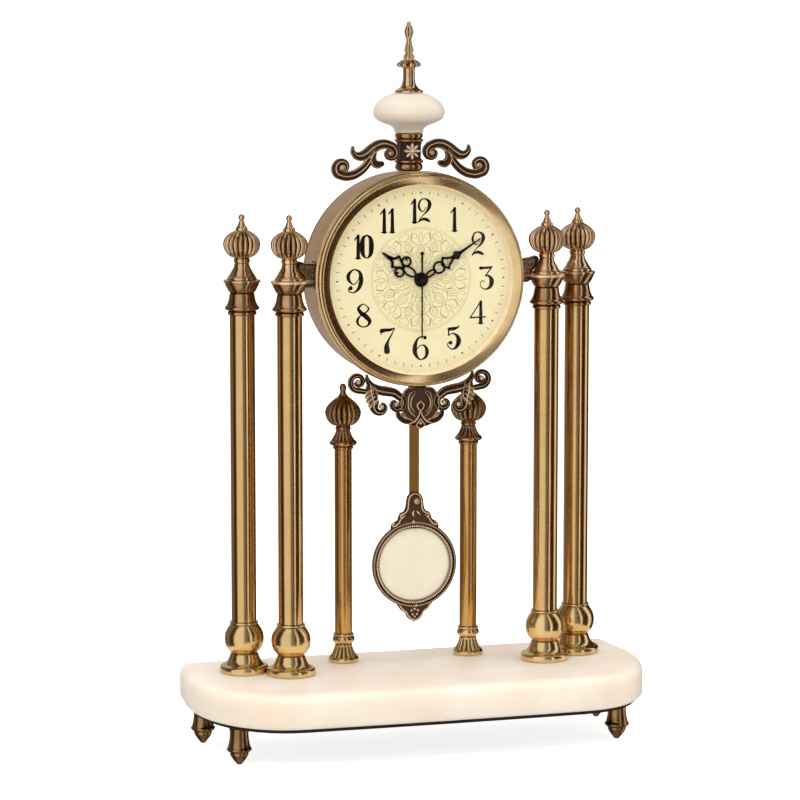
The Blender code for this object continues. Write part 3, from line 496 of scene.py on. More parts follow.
def feed(node: Node, inputs: dict[Any, Any]) -> None:
    """Fill a node's inputs.

    Args:
        node: The node.
        inputs: Socket name or number to a value, to the output that feeds it, or to the node whose
            first output does.
    """
    for key, value in inputs.items():
        source = value.outputs[0] if isinstance(value, Node) else value
        if isinstance(source, Socket):
            node.id_data.links.new(source, node.inputs[key])
        else:
            node.inputs[key].default_value = source


def add_node(tree: Tree, kind: str, inputs: dict[Any, Any] | None = None, **settings: Any) -> Node:
    """Add a node with its settings and links.

    Args:
        tree: The tree that gets it.
        kind: Its type name.
        inputs: What feeds its sockets, as for feed.
        settings: Properties of the node.

    Returns:
        The node.
    """
    made = tree.nodes.new(kind)
    for name, value in settings.items():
        setattr(made, name, value)
    feed(made, inputs or {})
    return made


@dataclass(frozen=True)
class Finish:
    """A surface as it was made, and the record's slot that it belongs to."""

    name: str
    slot: str

    def material(self) -> bpy.types.Material:
        """The material, made once and then reused.

        Returns:
            The material.
        """
        made = bpy.data.materials.get(self.name)
        if made is None:
            made = bpy.data.materials.new(self.name)
            made.use_nodes = True
            tree = made.node_tree
            self.shade(tree, tree.nodes["Principled BSDF"])
        return made

    def shade(self, tree: Tree, shader: Node) -> None:
        """Wire the finish into a new material; each kind of finish has its own way."""
        raise NotImplementedError


def spots(tree: Tree, size: float, detail: float = 2.0, grain: Grain = Grain.CAST,
          distortion: float = 0.0) -> Socket:
    """Noise of a real size over the piece.

    Args:
        tree: The material's tree.
        size: Size of a spot in millimetres.
        detail: Octaves of finer noise.
        grain: Which way it is stretched.
        distortion: How much it swirls.

    Returns:
        The noise value.
    """
    place = add_node(tree, "ShaderNodeTexCoord").outputs["Object"]
    scale = [stretch / (size * MM) for stretch in grain.value]
    mapped = add_node(tree, "ShaderNodeMapping", {"Vector": place, "Scale": scale})
    noise = add_node(tree, "ShaderNodeTexNoise", {
        "Vector": mapped, "Scale": 1.0, "Detail": detail, "Distortion": distortion})
    return noise.outputs["Fac"]


def ramp(tree: Tree, value: Socket, stops: Sequence[tuple[float, str]]) -> Socket:
    """Colours along a value.

    Args:
        tree: The material's tree.
        value: The value to colour.
        stops: Position and hex colour pairs.

    Returns:
        The colour.
    """
    made = add_node(tree, "ShaderNodeValToRGB", {"Fac": value})
    elements = made.color_ramp.elements
    for index, (position, colour) in enumerate(stops):
        element = elements[index] if index < 2 else elements.new(position)
        element.position = position
        element.color = linear(colour)
    return made.outputs["Color"]


def spread(tree: Tree, value: Socket, low: float, high: float, start: float = 0.3,
           end: float = 0.7) -> Socket:
    """Stretch a value between two limits.

    Args:
        tree: The material's tree.
        value: The value.
        low: What it gives at the start.
        high: What it gives at the end.
        start: The value's start.
        end: The value's end.

    Returns:
        The stretched value.
    """
    made = add_node(tree, "ShaderNodeMapRange", {
        "Value": value, "From Min": start, "From Max": end, "To Min": low, "To Max": high})
    return made.outputs[0]


# Ranges of the wear and painted shade mark in which metal counts as sunk, where it is darkened as patina and
# painted shade, and as rubbed, where it is lightened as wear and painted highlight, and of the groove mark
SUNK = (0.12, 0.42)
RUBBED_AND_HIGHLIT = (0.62, 0.9)
GROOVED = (0.26, 0.85)


@dataclass(frozen=True)
class Brass(Finish):
    """Brass that was turned or drawn and toned brown, darkened in its hollows as patina and painted shade and
    lightened on its edges as wear and painted highlight.
    """

    bright: str
    toned: str
    hollow: str
    roughness: float
    grain: Grain
    grain_size: float = 0.35
    grain_depth: float = 0.012

    def shade(self, tree: Tree, shader: Node) -> None:
        """Tool marks, soft cloudy toning, hollows and grooves darkened as patina and painted shade, and edges
        lightened as wear and painted highlight.

        Args:
            tree: The material's tree.
            shader: Its Principled BSDF node.
        """
        wear_and_shade = add_node(tree, "ShaderNodeAttribute", attribute_name="wear_and_shade").outputs["Fac"]
        groove = add_node(tree, "ShaderNodeAttribute", attribute_name="groove").outputs["Fac"]
        # Hollows and gadroon grooves take the hollow colour, partly patina and partly painted shade
        sunk = add_node(tree, "ShaderNodeMath", {
            0: spread(tree, wear_and_shade, 1.0, 0.0, *SUNK), 1: spread(tree, groove, 0.0, 1.0, *GROOVED)},
            operation="MAXIMUM")
        clouds = spread(tree, spots(tree, 16.0, 3.0), 0.0, 0.55)
        colour: Any = linear(self.bright)
        # The last mix lightens raised edges, partly wear and partly painted highlight
        for share, coat in ((clouds, self.toned), (sunk, self.hollow),
                            (spread(tree, wear_and_shade, 0.0, 0.6, *RUBBED_AND_HIGHLIT), self.bright)):
            colour = add_node(tree, "ShaderNodeMix", {"Factor": share, "A": colour, "B": linear(coat)},
                              data_type="RGBA").outputs[2]
        marks = spots(tree, self.grain_size, 2.0, self.grain)
        feed(shader, {
            "Base Color": colour, "Metallic": 1.0,
            "Roughness": spread(tree, marks, self.roughness - 0.04, self.roughness + 0.05),
            "Normal": add_node(tree, "ShaderNodeBump", {
                "Height": marks, "Strength": 0.5, "Distance": self.grain_depth * MM})})


@dataclass(frozen=True)
class CastBronze(Finish):
    """Sand-cast bronze with a brown patina, polished where it stands out, with painted highlight on its
    raised parts and painted shade in its hollows.
    """

    hollow: str = "#24160E"
    flat: str = "#4E3726"
    rim: str = "#F8D8AE"
    polish: float = 0.7

    def shade(self, tree: Tree, shader: Node) -> None:
        """Pale metal rims, partly painted highlight, brown flats, dark hollows, partly painted shade, and the
        fine pits of the sand mould.

        Args:
            tree: The material's tree.
            shader: Its Principled BSDF node.
        """
        wear_and_shade = add_node(tree, "ShaderNodeAttribute", attribute_name="wear_and_shade").outputs["Fac"]
        uneven = add_node(tree, "ShaderNodeMath", {0: spots(tree, 1.6, 3.0), 1: 0.1, 2: -0.05},
                          operation="MULTIPLY_ADD")
        level = add_node(tree, "ShaderNodeMath", {0: wear_and_shade, 1: uneven}, operation="ADD").outputs[0]
        # Colours along the wear and painted shade mark: the dark hollow is patina and painted shade, the pale
        # rim is wear and painted highlight
        coats = [(0.3, self.hollow), (0.52, self.flat), (0.6, self.flat), (0.74, self.rim)]
        feed(shader, {
            "Base Color": ramp(tree, level, coats), "Specular IOR Level": 0.25,
            "Metallic": spread(tree, level, 0.3 * self.polish, self.polish, 0.5, 0.7),
            "Roughness": spread(tree, level, 0.58, 0.56 - 0.42 * self.polish, 0.35, 0.66),
            "Normal": add_node(tree, "ShaderNodeBump", {
                "Height": spots(tree, 0.5, 2.0), "Strength": 0.4, "Distance": 0.05 * MM})})


@dataclass(frozen=True)
class Marble(Finish):
    """Cream marble, sawn and polished."""

    stone: tuple[str, str, str] = ("#F2DECB", "#F6E6D4", "#FAEEDF")
    vein: str = "#C9B3A2"

    def shade(self, tree: Tree, shader: Node) -> None:
        """Cloudy cream ground with warm drifts, a few faint veins and a soft polish.

        Args:
            tree: The material's tree.
            shader: Its Principled BSDF node.
        """
        clouds = spots(tree, 70.0, 3.0, distortion=0.5)
        ground = ramp(tree, clouds, list(zip((0.3, 0.5, 0.7), self.stone)))
        veins = spots(tree, 60.0, 4.0, distortion=1.6)
        line = add_node(tree, "ShaderNodeMath", {0: veins, 1: 0.5}, operation="SUBTRACT")
        thin = add_node(tree, "ShaderNodeMath", {0: line}, operation="ABSOLUTE").outputs[0]
        patches = add_node(tree, "ShaderNodeMath", {
            0: spread(tree, thin, 0.1, 0.0, 0.0, 0.02), 1: spread(tree, spots(tree, 110.0), 0.0, 1.0, 0.45)},
            operation="MULTIPLY")
        colour = add_node(tree, "ShaderNodeMix", {"Factor": patches, "A": ground, "B": linear(self.vein)},
                          data_type="RGBA")
        feed(shader, {
            "Base Color": colour.outputs[2], "Roughness": spread(tree, clouds, 0.3, 0.38),
            "Specular IOR Level": 0.3, "Subsurface Weight": 0.6, "Subsurface Radius": (1.0, 0.75, 0.5),
            "Subsurface Scale": 12 * MM})


@dataclass(frozen=True)
class Paint(Finish):
    """A coat of colour over metal or board, such as print, enamel or stain."""

    colour: str
    shadow: str
    roughness: float
    grain_size: float = 0.8
    grain: Grain = Grain.CAST
    metallic: float = 0.0
    bump: float = 0.02
    shine: float = 0.5

    def shade(self, tree: Tree, shader: Node) -> None:
        """Even colour with slight drifts and the fine texture of its ground.

        Args:
            tree: The material's tree.
            shader: Its Principled BSDF node.
        """
        drift = spots(tree, self.grain_size * 20, 2.0, self.grain)
        fine = spots(tree, self.grain_size, 2.0, self.grain)
        mixed = add_node(tree, "ShaderNodeMix", {
            "Factor": spread(tree, drift, 0.0, 1.0), "A": linear(self.colour), "B": linear(self.shadow)},
            data_type="RGBA")
        feed(shader, {
            "Base Color": mixed.outputs[2], "Metallic": self.metallic, "Specular IOR Level": self.shine,
            "Roughness": spread(tree, fine, self.roughness - 0.05, self.roughness + 0.05),
            "Normal": add_node(tree, "ShaderNodeBump", {
                "Height": fine, "Strength": 0.3, "Distance": self.bump * MM})})


@dataclass(frozen=True)
class ClearGlass(Finish):
    """Pressed clear glass."""

    def shade(self, tree: Tree, shader: Node) -> None:
        """Clear, with the weak reflection of coated glass and no shadow on the dial behind it.

        Args:
            tree: The material's tree.
            shader: Its Principled BSDF node.
        """
        feed(shader, {"Base Color": linear("#FFFFFF"), "Roughness": 0.01, "IOR": 1.18,
                      "Transmission Weight": 1.0})
        rays = add_node(tree, "ShaderNodeLightPath").outputs
        unseen = add_node(tree, "ShaderNodeMath", {0: rays["Is Shadow Ray"], 1: rays["Is Diffuse Ray"]},
                          operation="MAXIMUM")
        clear = add_node(tree, "ShaderNodeBsdfTransparent")
        mixed = add_node(tree, "ShaderNodeMixShader", {0: unseen, 1: shader, 2: clear})
        feed(tree.nodes["Material Output"], {"Surface": mixed})


# Turned and toned, so lathe rings run round each piece, and the hollows stay brown, partly as patina and
# partly as painted shade
FOOT_BRASS = Brass("turned_brass_foot", "foot_brass", "#B48E5E", "#6E5034", "#1A0F08", 0.24,
                   Grain.TURNED_UPRIGHT, 0.35, 0.004)
# Fresher and yellower than the tubes, with the fine rings of the lathe
BASE_BRASS = Brass("turned_brass_light", "light_brass", "#F0D49C", "#C8A468", "#4A3216", 0.2,
                   Grain.TURNED_UPRIGHT, 0.35, 0.004)
# Drawn tube brushed along its length, so highlights break into upright streaks
TUBE_BRASS = Brass("drawn_brass_brushed", "brushed_brass", "#E4BE84", "#BE9258", "#3A2410", 0.17,
                   Grain.DRAWN_UP, 0.6, 0.02)
# The same tube stock, rougher on the small columns and painted darker as the shade they stand in behind the
# pendulum
SMALL_TUBE_BRASS = Brass("drawn_brass_dull_painted_shade", "brushed_brass", "#DAAC6A", "#B08044", "#3A2410", 0.25,
                         Grain.DRAWN_UP, 0.6, 0.02)
CAPITAL_BRASS = Brass("turned_brass_toned", "brushed_brass", "#CEA678", "#80583A", "#1A0E08", 0.2,
                      Grain.TURNED_UPRIGHT, 0.35, 0.004)
# Gadroons are near black in their grooves, partly patina and partly painted shade, and bright along their
# ribs, partly wear and partly painted highlight
FINIAL_BRASS = Brass("gadrooned_brass_toned", "finial_brass", "#FFDCAE", "#8E6238", "#20110A", 0.17,
                     Grain.CAST, 0.5, 0.006)
# The same castings on the small columns, painted darker as the shade they stand in behind the pendulum
SMALL_FINIAL_BRASS = Brass("gadrooned_brass_painted_shade", "finial_brass", "#C09A70", "#543C28", "#120A05", 0.18,
                           Grain.CAST, 0.5, 0.006)
# Spun sheet, lacquered and duller than the turned parts
CASE_BRASS = Brass("spun_brass_antique", "antique_brass", "#DAAE6E", "#B48A54", "#3A2415", 0.32,
                   Grain.TURNED_DIAL, 0.5, 0.004)
BEZEL_BRASS = Brass("turned_brass_bezel", "bezel_brass", "#F4D8A4", "#D6B074", "#4A2E12", 0.2,
                    Grain.TURNED_DIAL, 0.5, 0.001)
# Pale satin colour on the sight ring's brass slope, a painted reflection of the cream dial
SIGHT_PAINTED_REFLECTION = Paint("pale_painted_reflection", "bezel_brass", "#F6DFB6", "#F0D4A6", 0.4, 0.4)
ROD_BRASS = Brass("rolled_brass_strip", "pendulum_brass", "#B98748", "#A06E36", "#3A2010", 0.38,
                  Grain.DRAWN_UP, 0.5)
BRONZE = CastBronze("sand_cast_bronze", "cast_bronze")
# The ground of an ornament, painted near black, partly as patina and partly as the painted shade behind and
# between its scrolls
SHADED_GROUND_BRONZE = CastBronze("sand_cast_bronze_painted_shade", "cast_bronze", "#1A0F09", "#33221A", "#4A3324", 0.2)
# Small beads, pale partly from wear by cleaning cloths and partly as painted highlight
BEAD_BRONZE = CastBronze("sand_cast_bronze_rubbed_and_highlit", "cast_bronze", "#3A2617", "#D2AC86", "#FFE8CC", 0.6)
MARBLE = Marble("polished_cream_marble", "marble")
# Dark rolls, so the beads stand out
RING_BRONZE = CastBronze("sand_cast_bronze_dark", "cast_bronze", "#1A0F09", "#3A281C", "#C0A084")
# The ball's marble is painted darker, as painted shade that offsets the stronger light on the ball's top
BALL_MARBLE = Marble("polished_marble_painted_shade", "marble", ("#DDD2C0", "#DFD5C5", "#E2D9CA"))
DIAL_PAINT = Paint("printed_cream_dial", "cream_dial", "#EFE4B8", "#ECDFB1", 0.5, 0.4)
BOB_PAINT = Paint("enamelled_cream_disc", "cream_dial", "#F0E8D2", "#ECE2C8", 0.35, 0.5)
NUMERAL_INK = Paint("screen_printed_ink", "black_enamel", "#150E05", "#1C1308", 0.6, 0.3, shine=0.1)
TICK_INK = Paint("screen_printed_grey_ink", "cream_dial", "#6E6546", "#625A3E", 0.6, 0.3, shine=0.1)
PATTERN_INK = Paint("screen_printed_tint", "cream_dial", "#CBBF8E", "#D2C798", 0.6, 0.3, shine=0.1)
BLACK_ENAMEL = Paint("stamped_steel_enamelled", "black_enamel", "#0F0B08", "#17110C", 0.5, 0.4, shine=0.15)
BOARD = Paint("stained_hardboard", "underboard", "#24160D", "#17100A", 0.7, 1.2)
PLASTIC = Paint("moulded_abs_spark_eroded", "movement_plastic", "#1B1B1C", "#232324", 0.5, 0.25, bump=0.05)
STEEL = Paint("zinc_plated_steel", "rod_steel", "#B9B9B4", "#9C9C98", 0.32, 0.6, metallic=1.0)
SLEEVE = Paint("shrink_film_sleeve", "battery_sleeve", "#4A4C52", "#3E4046", 0.3, 2.0)
GLASS = ClearGlass("pressed_clear_glass", "dial_glass")


def put(name: str, shape: Mould | Mesh, finish: Finish, body: str = "root",
        stands_for: Sequence[str] = ()) -> None:
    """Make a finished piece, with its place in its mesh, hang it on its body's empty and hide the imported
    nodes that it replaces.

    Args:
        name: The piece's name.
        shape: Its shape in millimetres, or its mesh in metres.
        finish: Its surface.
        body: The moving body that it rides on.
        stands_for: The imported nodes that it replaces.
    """
    mesh = shape.mesh(name) if isinstance(shape, Mould) else shape
    mesh.name = name
    mark_wear(mesh)
    mesh.materials.clear()
    mesh.materials.append(finish.material())
    made = bpy.data.objects.new(name, mesh)
    bpy.context.scene.collection.objects.link(made)
    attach(made, body)
    if stands_for:
        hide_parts(*stands_for)
    LOG.info("%s: %d faces on %s", name, len(mesh.polygons), body)


def dress(node: str, finish: Finish) -> None:
    """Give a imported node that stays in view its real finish.

    Args:
        node: The node's name.
        finish: Its surface.
    """
    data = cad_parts[node].data
    data.materials.clear()
    data.materials.append(finish.material())
    LOG.info("%s keeps its solid", node)


# Geometry Nodes

def new_tree(name: str, sockets: dict[str, tuple[str, Any]]) -> tuple[Tree, Node]:
    """Start a Geometry Nodes tree with named inputs.

    Args:
        name: The tree's name.
        sockets: Input name to its socket type and default value.

    Returns:
        The tree and its Group Input node.
    """
    tree = bpy.data.node_groups.new(name, "GeometryNodeTree")
    tree.interface.new_socket("Geometry", in_out="INPUT", socket_type="NodeSocketGeometry")
    for label, (kind, value) in sockets.items():
        socket = tree.interface.new_socket(label, in_out="INPUT", socket_type=kind)
        if value is not None:
            socket.default_value = value
    tree.interface.new_socket("Geometry", in_out="OUTPUT", socket_type="NodeSocketGeometry")
    return tree, add_node(tree, "NodeGroupInput")


def end_tree(tree: Tree, geometry: Node, finish: Socket) -> Tree:
    """End a tree in Realize Instances and Set Material.

    Args:
        tree: The tree.
        geometry: The node that gives its shape.
        finish: The input that gives its surface.

    Returns:
        The tree.
    """
    real = add_node(tree, "GeometryNodeRealizeInstances", {"Geometry": geometry})
    coated = add_node(tree, "GeometryNodeSetMaterial", {"Geometry": real, "Material": finish})
    add_node(tree, "NodeGroupOutput", {"Geometry": coated})
    return tree


def grown(shape: Mesh, tree: Tree, values: dict[str, Any]) -> Mesh:
    """Run a tree on a mesh and keep the result as a plain mesh.

    Args:
        shape: The mesh that goes in.
        tree: The Geometry Nodes tree.
        values: Input name to value.

    Returns:
        The plain mesh.
    """
    holder = bpy.data.objects.new("holder", shape)
    bpy.context.scene.collection.objects.link(holder)
    modifier = holder.modifiers.new("grow", "NODES")
    modifier.node_group = tree
    for item in tree.interface.items_tree:
        if item.in_out == "INPUT" and item.name in values:
            modifier[item.identifier] = values[item.name]
    graph = bpy.context.evaluated_depsgraph_get()
    mesh = bpy.data.meshes.new_from_object(holder.evaluated_get(graph))
    bpy.data.objects.remove(holder)
    return mesh


def gadroon_tree() -> Tree:
    """Grooves pressed into a turned body between two heights, as gadroons or flutes.

    Returns:
        The tree.
    """
    tree, given = new_tree("gadroons", {
        "Ribs": ("NodeSocketFloat", 16.0), "Depth": ("NodeSocketFloat", 0.1),
        "Low": ("NodeSocketFloat", 0.0), "High": ("NodeSocketFloat", 0.01),
        "Fade": ("NodeSocketFloat", 0.002), "Centre": ("NodeSocketVector", (0.0, 0.0, 0.0)),
        "Finish": ("NodeSocketMaterial", None)})
    put_in = given.outputs
    place = add_node(tree, "GeometryNodeInputPosition").outputs[0]
    away = add_node(tree, "ShaderNodeVectorMath", {0: place, 1: put_in["Centre"]}, operation="SUBTRACT")
    parts = add_node(tree, "ShaderNodeSeparateXYZ", {0: away})
    turn = add_node(tree, "ShaderNodeMath", {0: parts.outputs[1], 1: parts}, operation="ARCTAN2")
    half = add_node(tree, "ShaderNodeMath", {0: put_in["Ribs"], 1: 0.5}, operation="MULTIPLY")
    wave = add_node(tree, "ShaderNodeMath", {0: turn, 1: half}, operation="MULTIPLY")
    ridge = add_node(tree, "ShaderNodeMath", {0: wave}, operation="COSINE")
    crest = add_node(tree, "ShaderNodeMath", {0: ridge}, operation="ABSOLUTE")
    power = add_node(tree, "ShaderNodeMath", {0: crest, 1: 0.7}, operation="POWER")
    mask = add_node(tree, "ShaderNodeMath", {0: 1.0, 1: power}, operation="SUBTRACT")
    for edge, sign in (("Low", 1.0), ("High", -1.0)):
        gap = add_node(tree, "ShaderNodeMath", {0: parts.outputs[2], 1: put_in[edge]}, operation="SUBTRACT")
        ahead = add_node(tree, "ShaderNodeMath", {0: gap, 1: sign}, operation="MULTIPLY")
        fade = add_node(tree, "ShaderNodeMapRange", {"Value": ahead, "From Max": put_in["Fade"]},
                        interpolation_type="SMOOTHSTEP")
        mask = add_node(tree, "ShaderNodeMath", {0: mask, 1: fade}, operation="MULTIPLY")
    cut = add_node(tree, "ShaderNodeMath", {0: mask, 1: put_in["Depth"]}, operation="MULTIPLY")
    flat = add_node(tree, "ShaderNodeCombineXYZ", {0: parts, 1: parts.outputs[1]})
    inward = add_node(tree, "ShaderNodeMath", {0: cut, 1: -1.0}, operation="MULTIPLY")
    shift = add_node(tree, "ShaderNodeVectorMath", {0: flat, "Scale": inward}, operation="SCALE")
    moved = add_node(tree, "GeometryNodeSetPosition", {"Geometry": put_in["Geometry"], "Offset": shift})
    # The groove mark, which brass finishes darken, partly as patina and partly as painted shade
    before = add_node(tree, "GeometryNodeInputNamedAttribute", {"Name": "groove"})
    deepest = add_node(tree, "ShaderNodeMath", {0: before.outputs["Attribute"], 1: mask}, operation="MAXIMUM")
    marked = add_node(tree, "GeometryNodeStoreNamedAttribute", {
        "Geometry": moved, "Name": "groove", "Value": deepest})
    return end_tree(tree, marked, put_in["Finish"])


def round_tree() -> Tree:
    """Copies of the mesh set evenly round an axis, such as beads, screws or minute marks.

    Returns:
        The tree.
    """
    tree, given = new_tree("set_round", {
        "Count": ("NodeSocketInt", 12), "Axis": ("NodeSocketVector", (0.0, 1.0, 0.0)),
        "Centre": ("NodeSocketVector", (0.0, 0.0, 0.0)), "First Turn": ("NodeSocketFloat", 0.0),
        "Finish": ("NodeSocketMaterial", None)})
    put_in = given.outputs
    line = add_node(tree, "GeometryNodeMeshLine", {"Count": put_in["Count"], "Offset": (0.0, 0.0, 0.0)})
    step = add_node(tree, "ShaderNodeMath", {0: 2 * math.pi, 1: put_in["Count"]}, operation="DIVIDE")
    index = add_node(tree, "GeometryNodeInputIndex").outputs[0]
    turn = add_node(tree, "ShaderNodeMath", {0: index, 1: step, 2: put_in["First Turn"]},
                    operation="MULTIPLY_ADD")
    spin = add_node(tree, "FunctionNodeAxisAngleToRotation", {"Axis": put_in["Axis"], "Angle": turn})
    copies = add_node(tree, "GeometryNodeInstanceOnPoints", {
        "Points": line, "Instance": put_in["Geometry"], "Rotation": spin})
    moved = add_node(tree, "GeometryNodeTransform", {"Geometry": copies, "Translation": put_in["Centre"]})
    return end_tree(tree, moved, put_in["Finish"])


@dataclass
class Workshop:
    """The Geometry Nodes trees that the sub-assemblies share."""

    gadroons: Tree
    round: Tree

    def put_ribbed(self, node: str, name: str, shape: Mould, finish: Finish, *bands: dict[str, Any]) -> None:
        """Put a turned body with bands of ribs pressed into it.

        Args:
            node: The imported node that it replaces.
            name: The piece's name.
            shape: The body.
            finish: Its surface.
            bands: The inputs of each band, as from rib_band.
        """
        mesh = shape.mesh(name)
        for band in bands:
            mesh = grown(mesh, self.gadroons, {**band, "Finish": finish.material()})
        put(name, mesh, finish, stands_for=[node])

    def put_round(self, name: str, motif: Mould, finish: Finish, count: int, centre: Vector = DIAL_CENTRE,
                  first: float = 0.0, body: str = "root") -> None:
        """Put a motif repeated round an axis that runs from front to back.

        Args:
            name: The piece's name.
            motif: The motif in its place, with the axis through the origin.
            finish: Its surface.
            count: How many copies.
            centre: Where the axis goes, in millimetres.
            first: Turn of the first copy in degrees.
            body: The moving body that it rides on.
        """
        mesh = grown(motif.mesh(name), self.round, {
            "Count": count, "Axis": (0.0, 1.0, 0.0), "Centre": tuple(centre * MM),
            "First Turn": math.radians(first), "Finish": finish.material()})
        put(name, mesh, finish, body)


def rib_band(ribs: int, depth: float, ends: Point, fade: float, axis: Point) -> dict[str, Any]:
    """The inputs of one band of gadroons or flutes.

    Args:
        ribs: How many ribs it has.
        depth: Depth of its grooves as a share of the radius.
        ends: Heights of its two ends above the slab.
        fade: Length over which the grooves fade out at its ends.
        axis: Where the body's axis stands.

    Returns:
        Input name to value, with lengths in metres.
    """
    low, high = ends
    return {"Ribs": float(ribs), "Depth": depth, "Low": (MARBLE_TOP + low) * MM,
            "High": (MARBLE_TOP + high) * MM, "Fade": fade * MM, "Centre": (axis[0] * MM, axis[1] * MM, 0.0)}


# Sub-assemblies

@dataclass
class MarbleBase:
    """Marble slab on a dark board and four turned feet with pointed tips."""

    bottom: float = 37.0
    half_width: float = 198.0
    back_half_width: float = 194.0
    front: float = 77.5
    back: float = 82.0
    bow: float = 1.5
    curve_middle: Point = (118.0, 30.0)
    curve_power: float = 2.2
    back_radius: float = 8.0
    feet: tuple[tuple[str, float, float], ...] = (
        ("foot_front_left", -166.0, -24.0), ("foot_front_right", 166.0, -24.0),
        ("foot_back_left", -177.5, 60.0), ("foot_back_right", 177.5, 60.0))

    def outline(self, inset: float) -> list[Point]:
        """The slab's outline from above, drawn in by an inset, less at its sawn back.

        Args:
            inset: How far it is drawn in.

        Returns:
            The points.
        """
        middle_x, middle_y = self.curve_middle
        half_width = self.half_width - middle_x - inset
        half_depth = self.front - self.bow + middle_y - inset
        corner = (self.back_half_width - self.back_radius, self.back - self.back_radius)
        radii = (max(self.back_radius - inset, 0.4), self.back_radius - 0.2 * inset)
        right = arc(corner, radii, 90, 5, 10)
        for step in range(49):
            turn = math.radians(88.5 * step / 48)
            x = middle_x + half_width * math.cos(turn) ** (2 / self.curve_power)
            right.append((x, middle_y - half_depth * math.sin(turn) ** (2 / self.curve_power)))
        bow_radius = middle_x ** 2 / (2 * self.bow)
        reach = math.degrees(middle_x / bow_radius)
        radii = (bow_radius - inset, bow_radius - inset)
        bow = arc((0, bow_radius - self.front), radii, reach - 90, -90 - reach, 24)
        return right + bow[1:-1] + mirrored(reversed(right))

    def slab(self) -> Mould:
        """The slab with its rounded lower edge and its softly rolled upper one.

        Returns:
            The slab.
        """
        section = [(4.0, 0.0), (1.6, 0.5), (0.4, 1.7), (0.0, 3.4), (0.0, 12.0), (0.0, 19.6), (0.3, 21.8)]
        section += [(0.9, 23.9), (1.9, 25.5), (3.3, 26.8), (5.0, 27.7), (7.0, 28.3), (9.6, 28.5)]
        rings = []
        for inset, height in section:
            rings.append([Vector((x, y, self.bottom + height)) for x, y in self.outline(inset)])
        return Mould().skin(rings)

    def foot(self) -> Mould:
        """A turned foot: pointed tip, rim and a bell that flares under the board.

        Returns:
            The foot.
        """
        tip = [(0.0, 0.0), (1.6, 0.0)]
        tip += smooth([(2.0, 0.3), (3.5, 2.2), (5.3, 4.4), (6.9, 6.9), (7.7, 8.8), (7.8, 10.2)], 5)
        rim = smooth([(8.0, 10.8), (9.4, 11.4), (10.3, 12.6), (10.3, 13.6), (9.6, 14.6)], 4)
        bell = smooth([(9.3, 15.2), (8.7, 17.6), (8.1, 21.0), (7.8, 25.0), (8.0, 28.6), (8.6, 30.8)], 5)
        return lathe(eased(tip + rim + bell + [(9.4, 32.0), (9.4, 33.7), (2.0, 33.7)], 0.4))

    def build(self) -> None:
        """Put the slab, dress the board and put the feet."""
        put("marble_slab", self.slab(), MARBLE, stands_for=["marble_base"])
        dress("base_underboard", BOARD)
        for node, x, y in self.feet:
            put(node + "_turned", self.foot().moved(x, y), FOOT_BRASS, stands_for=[node])


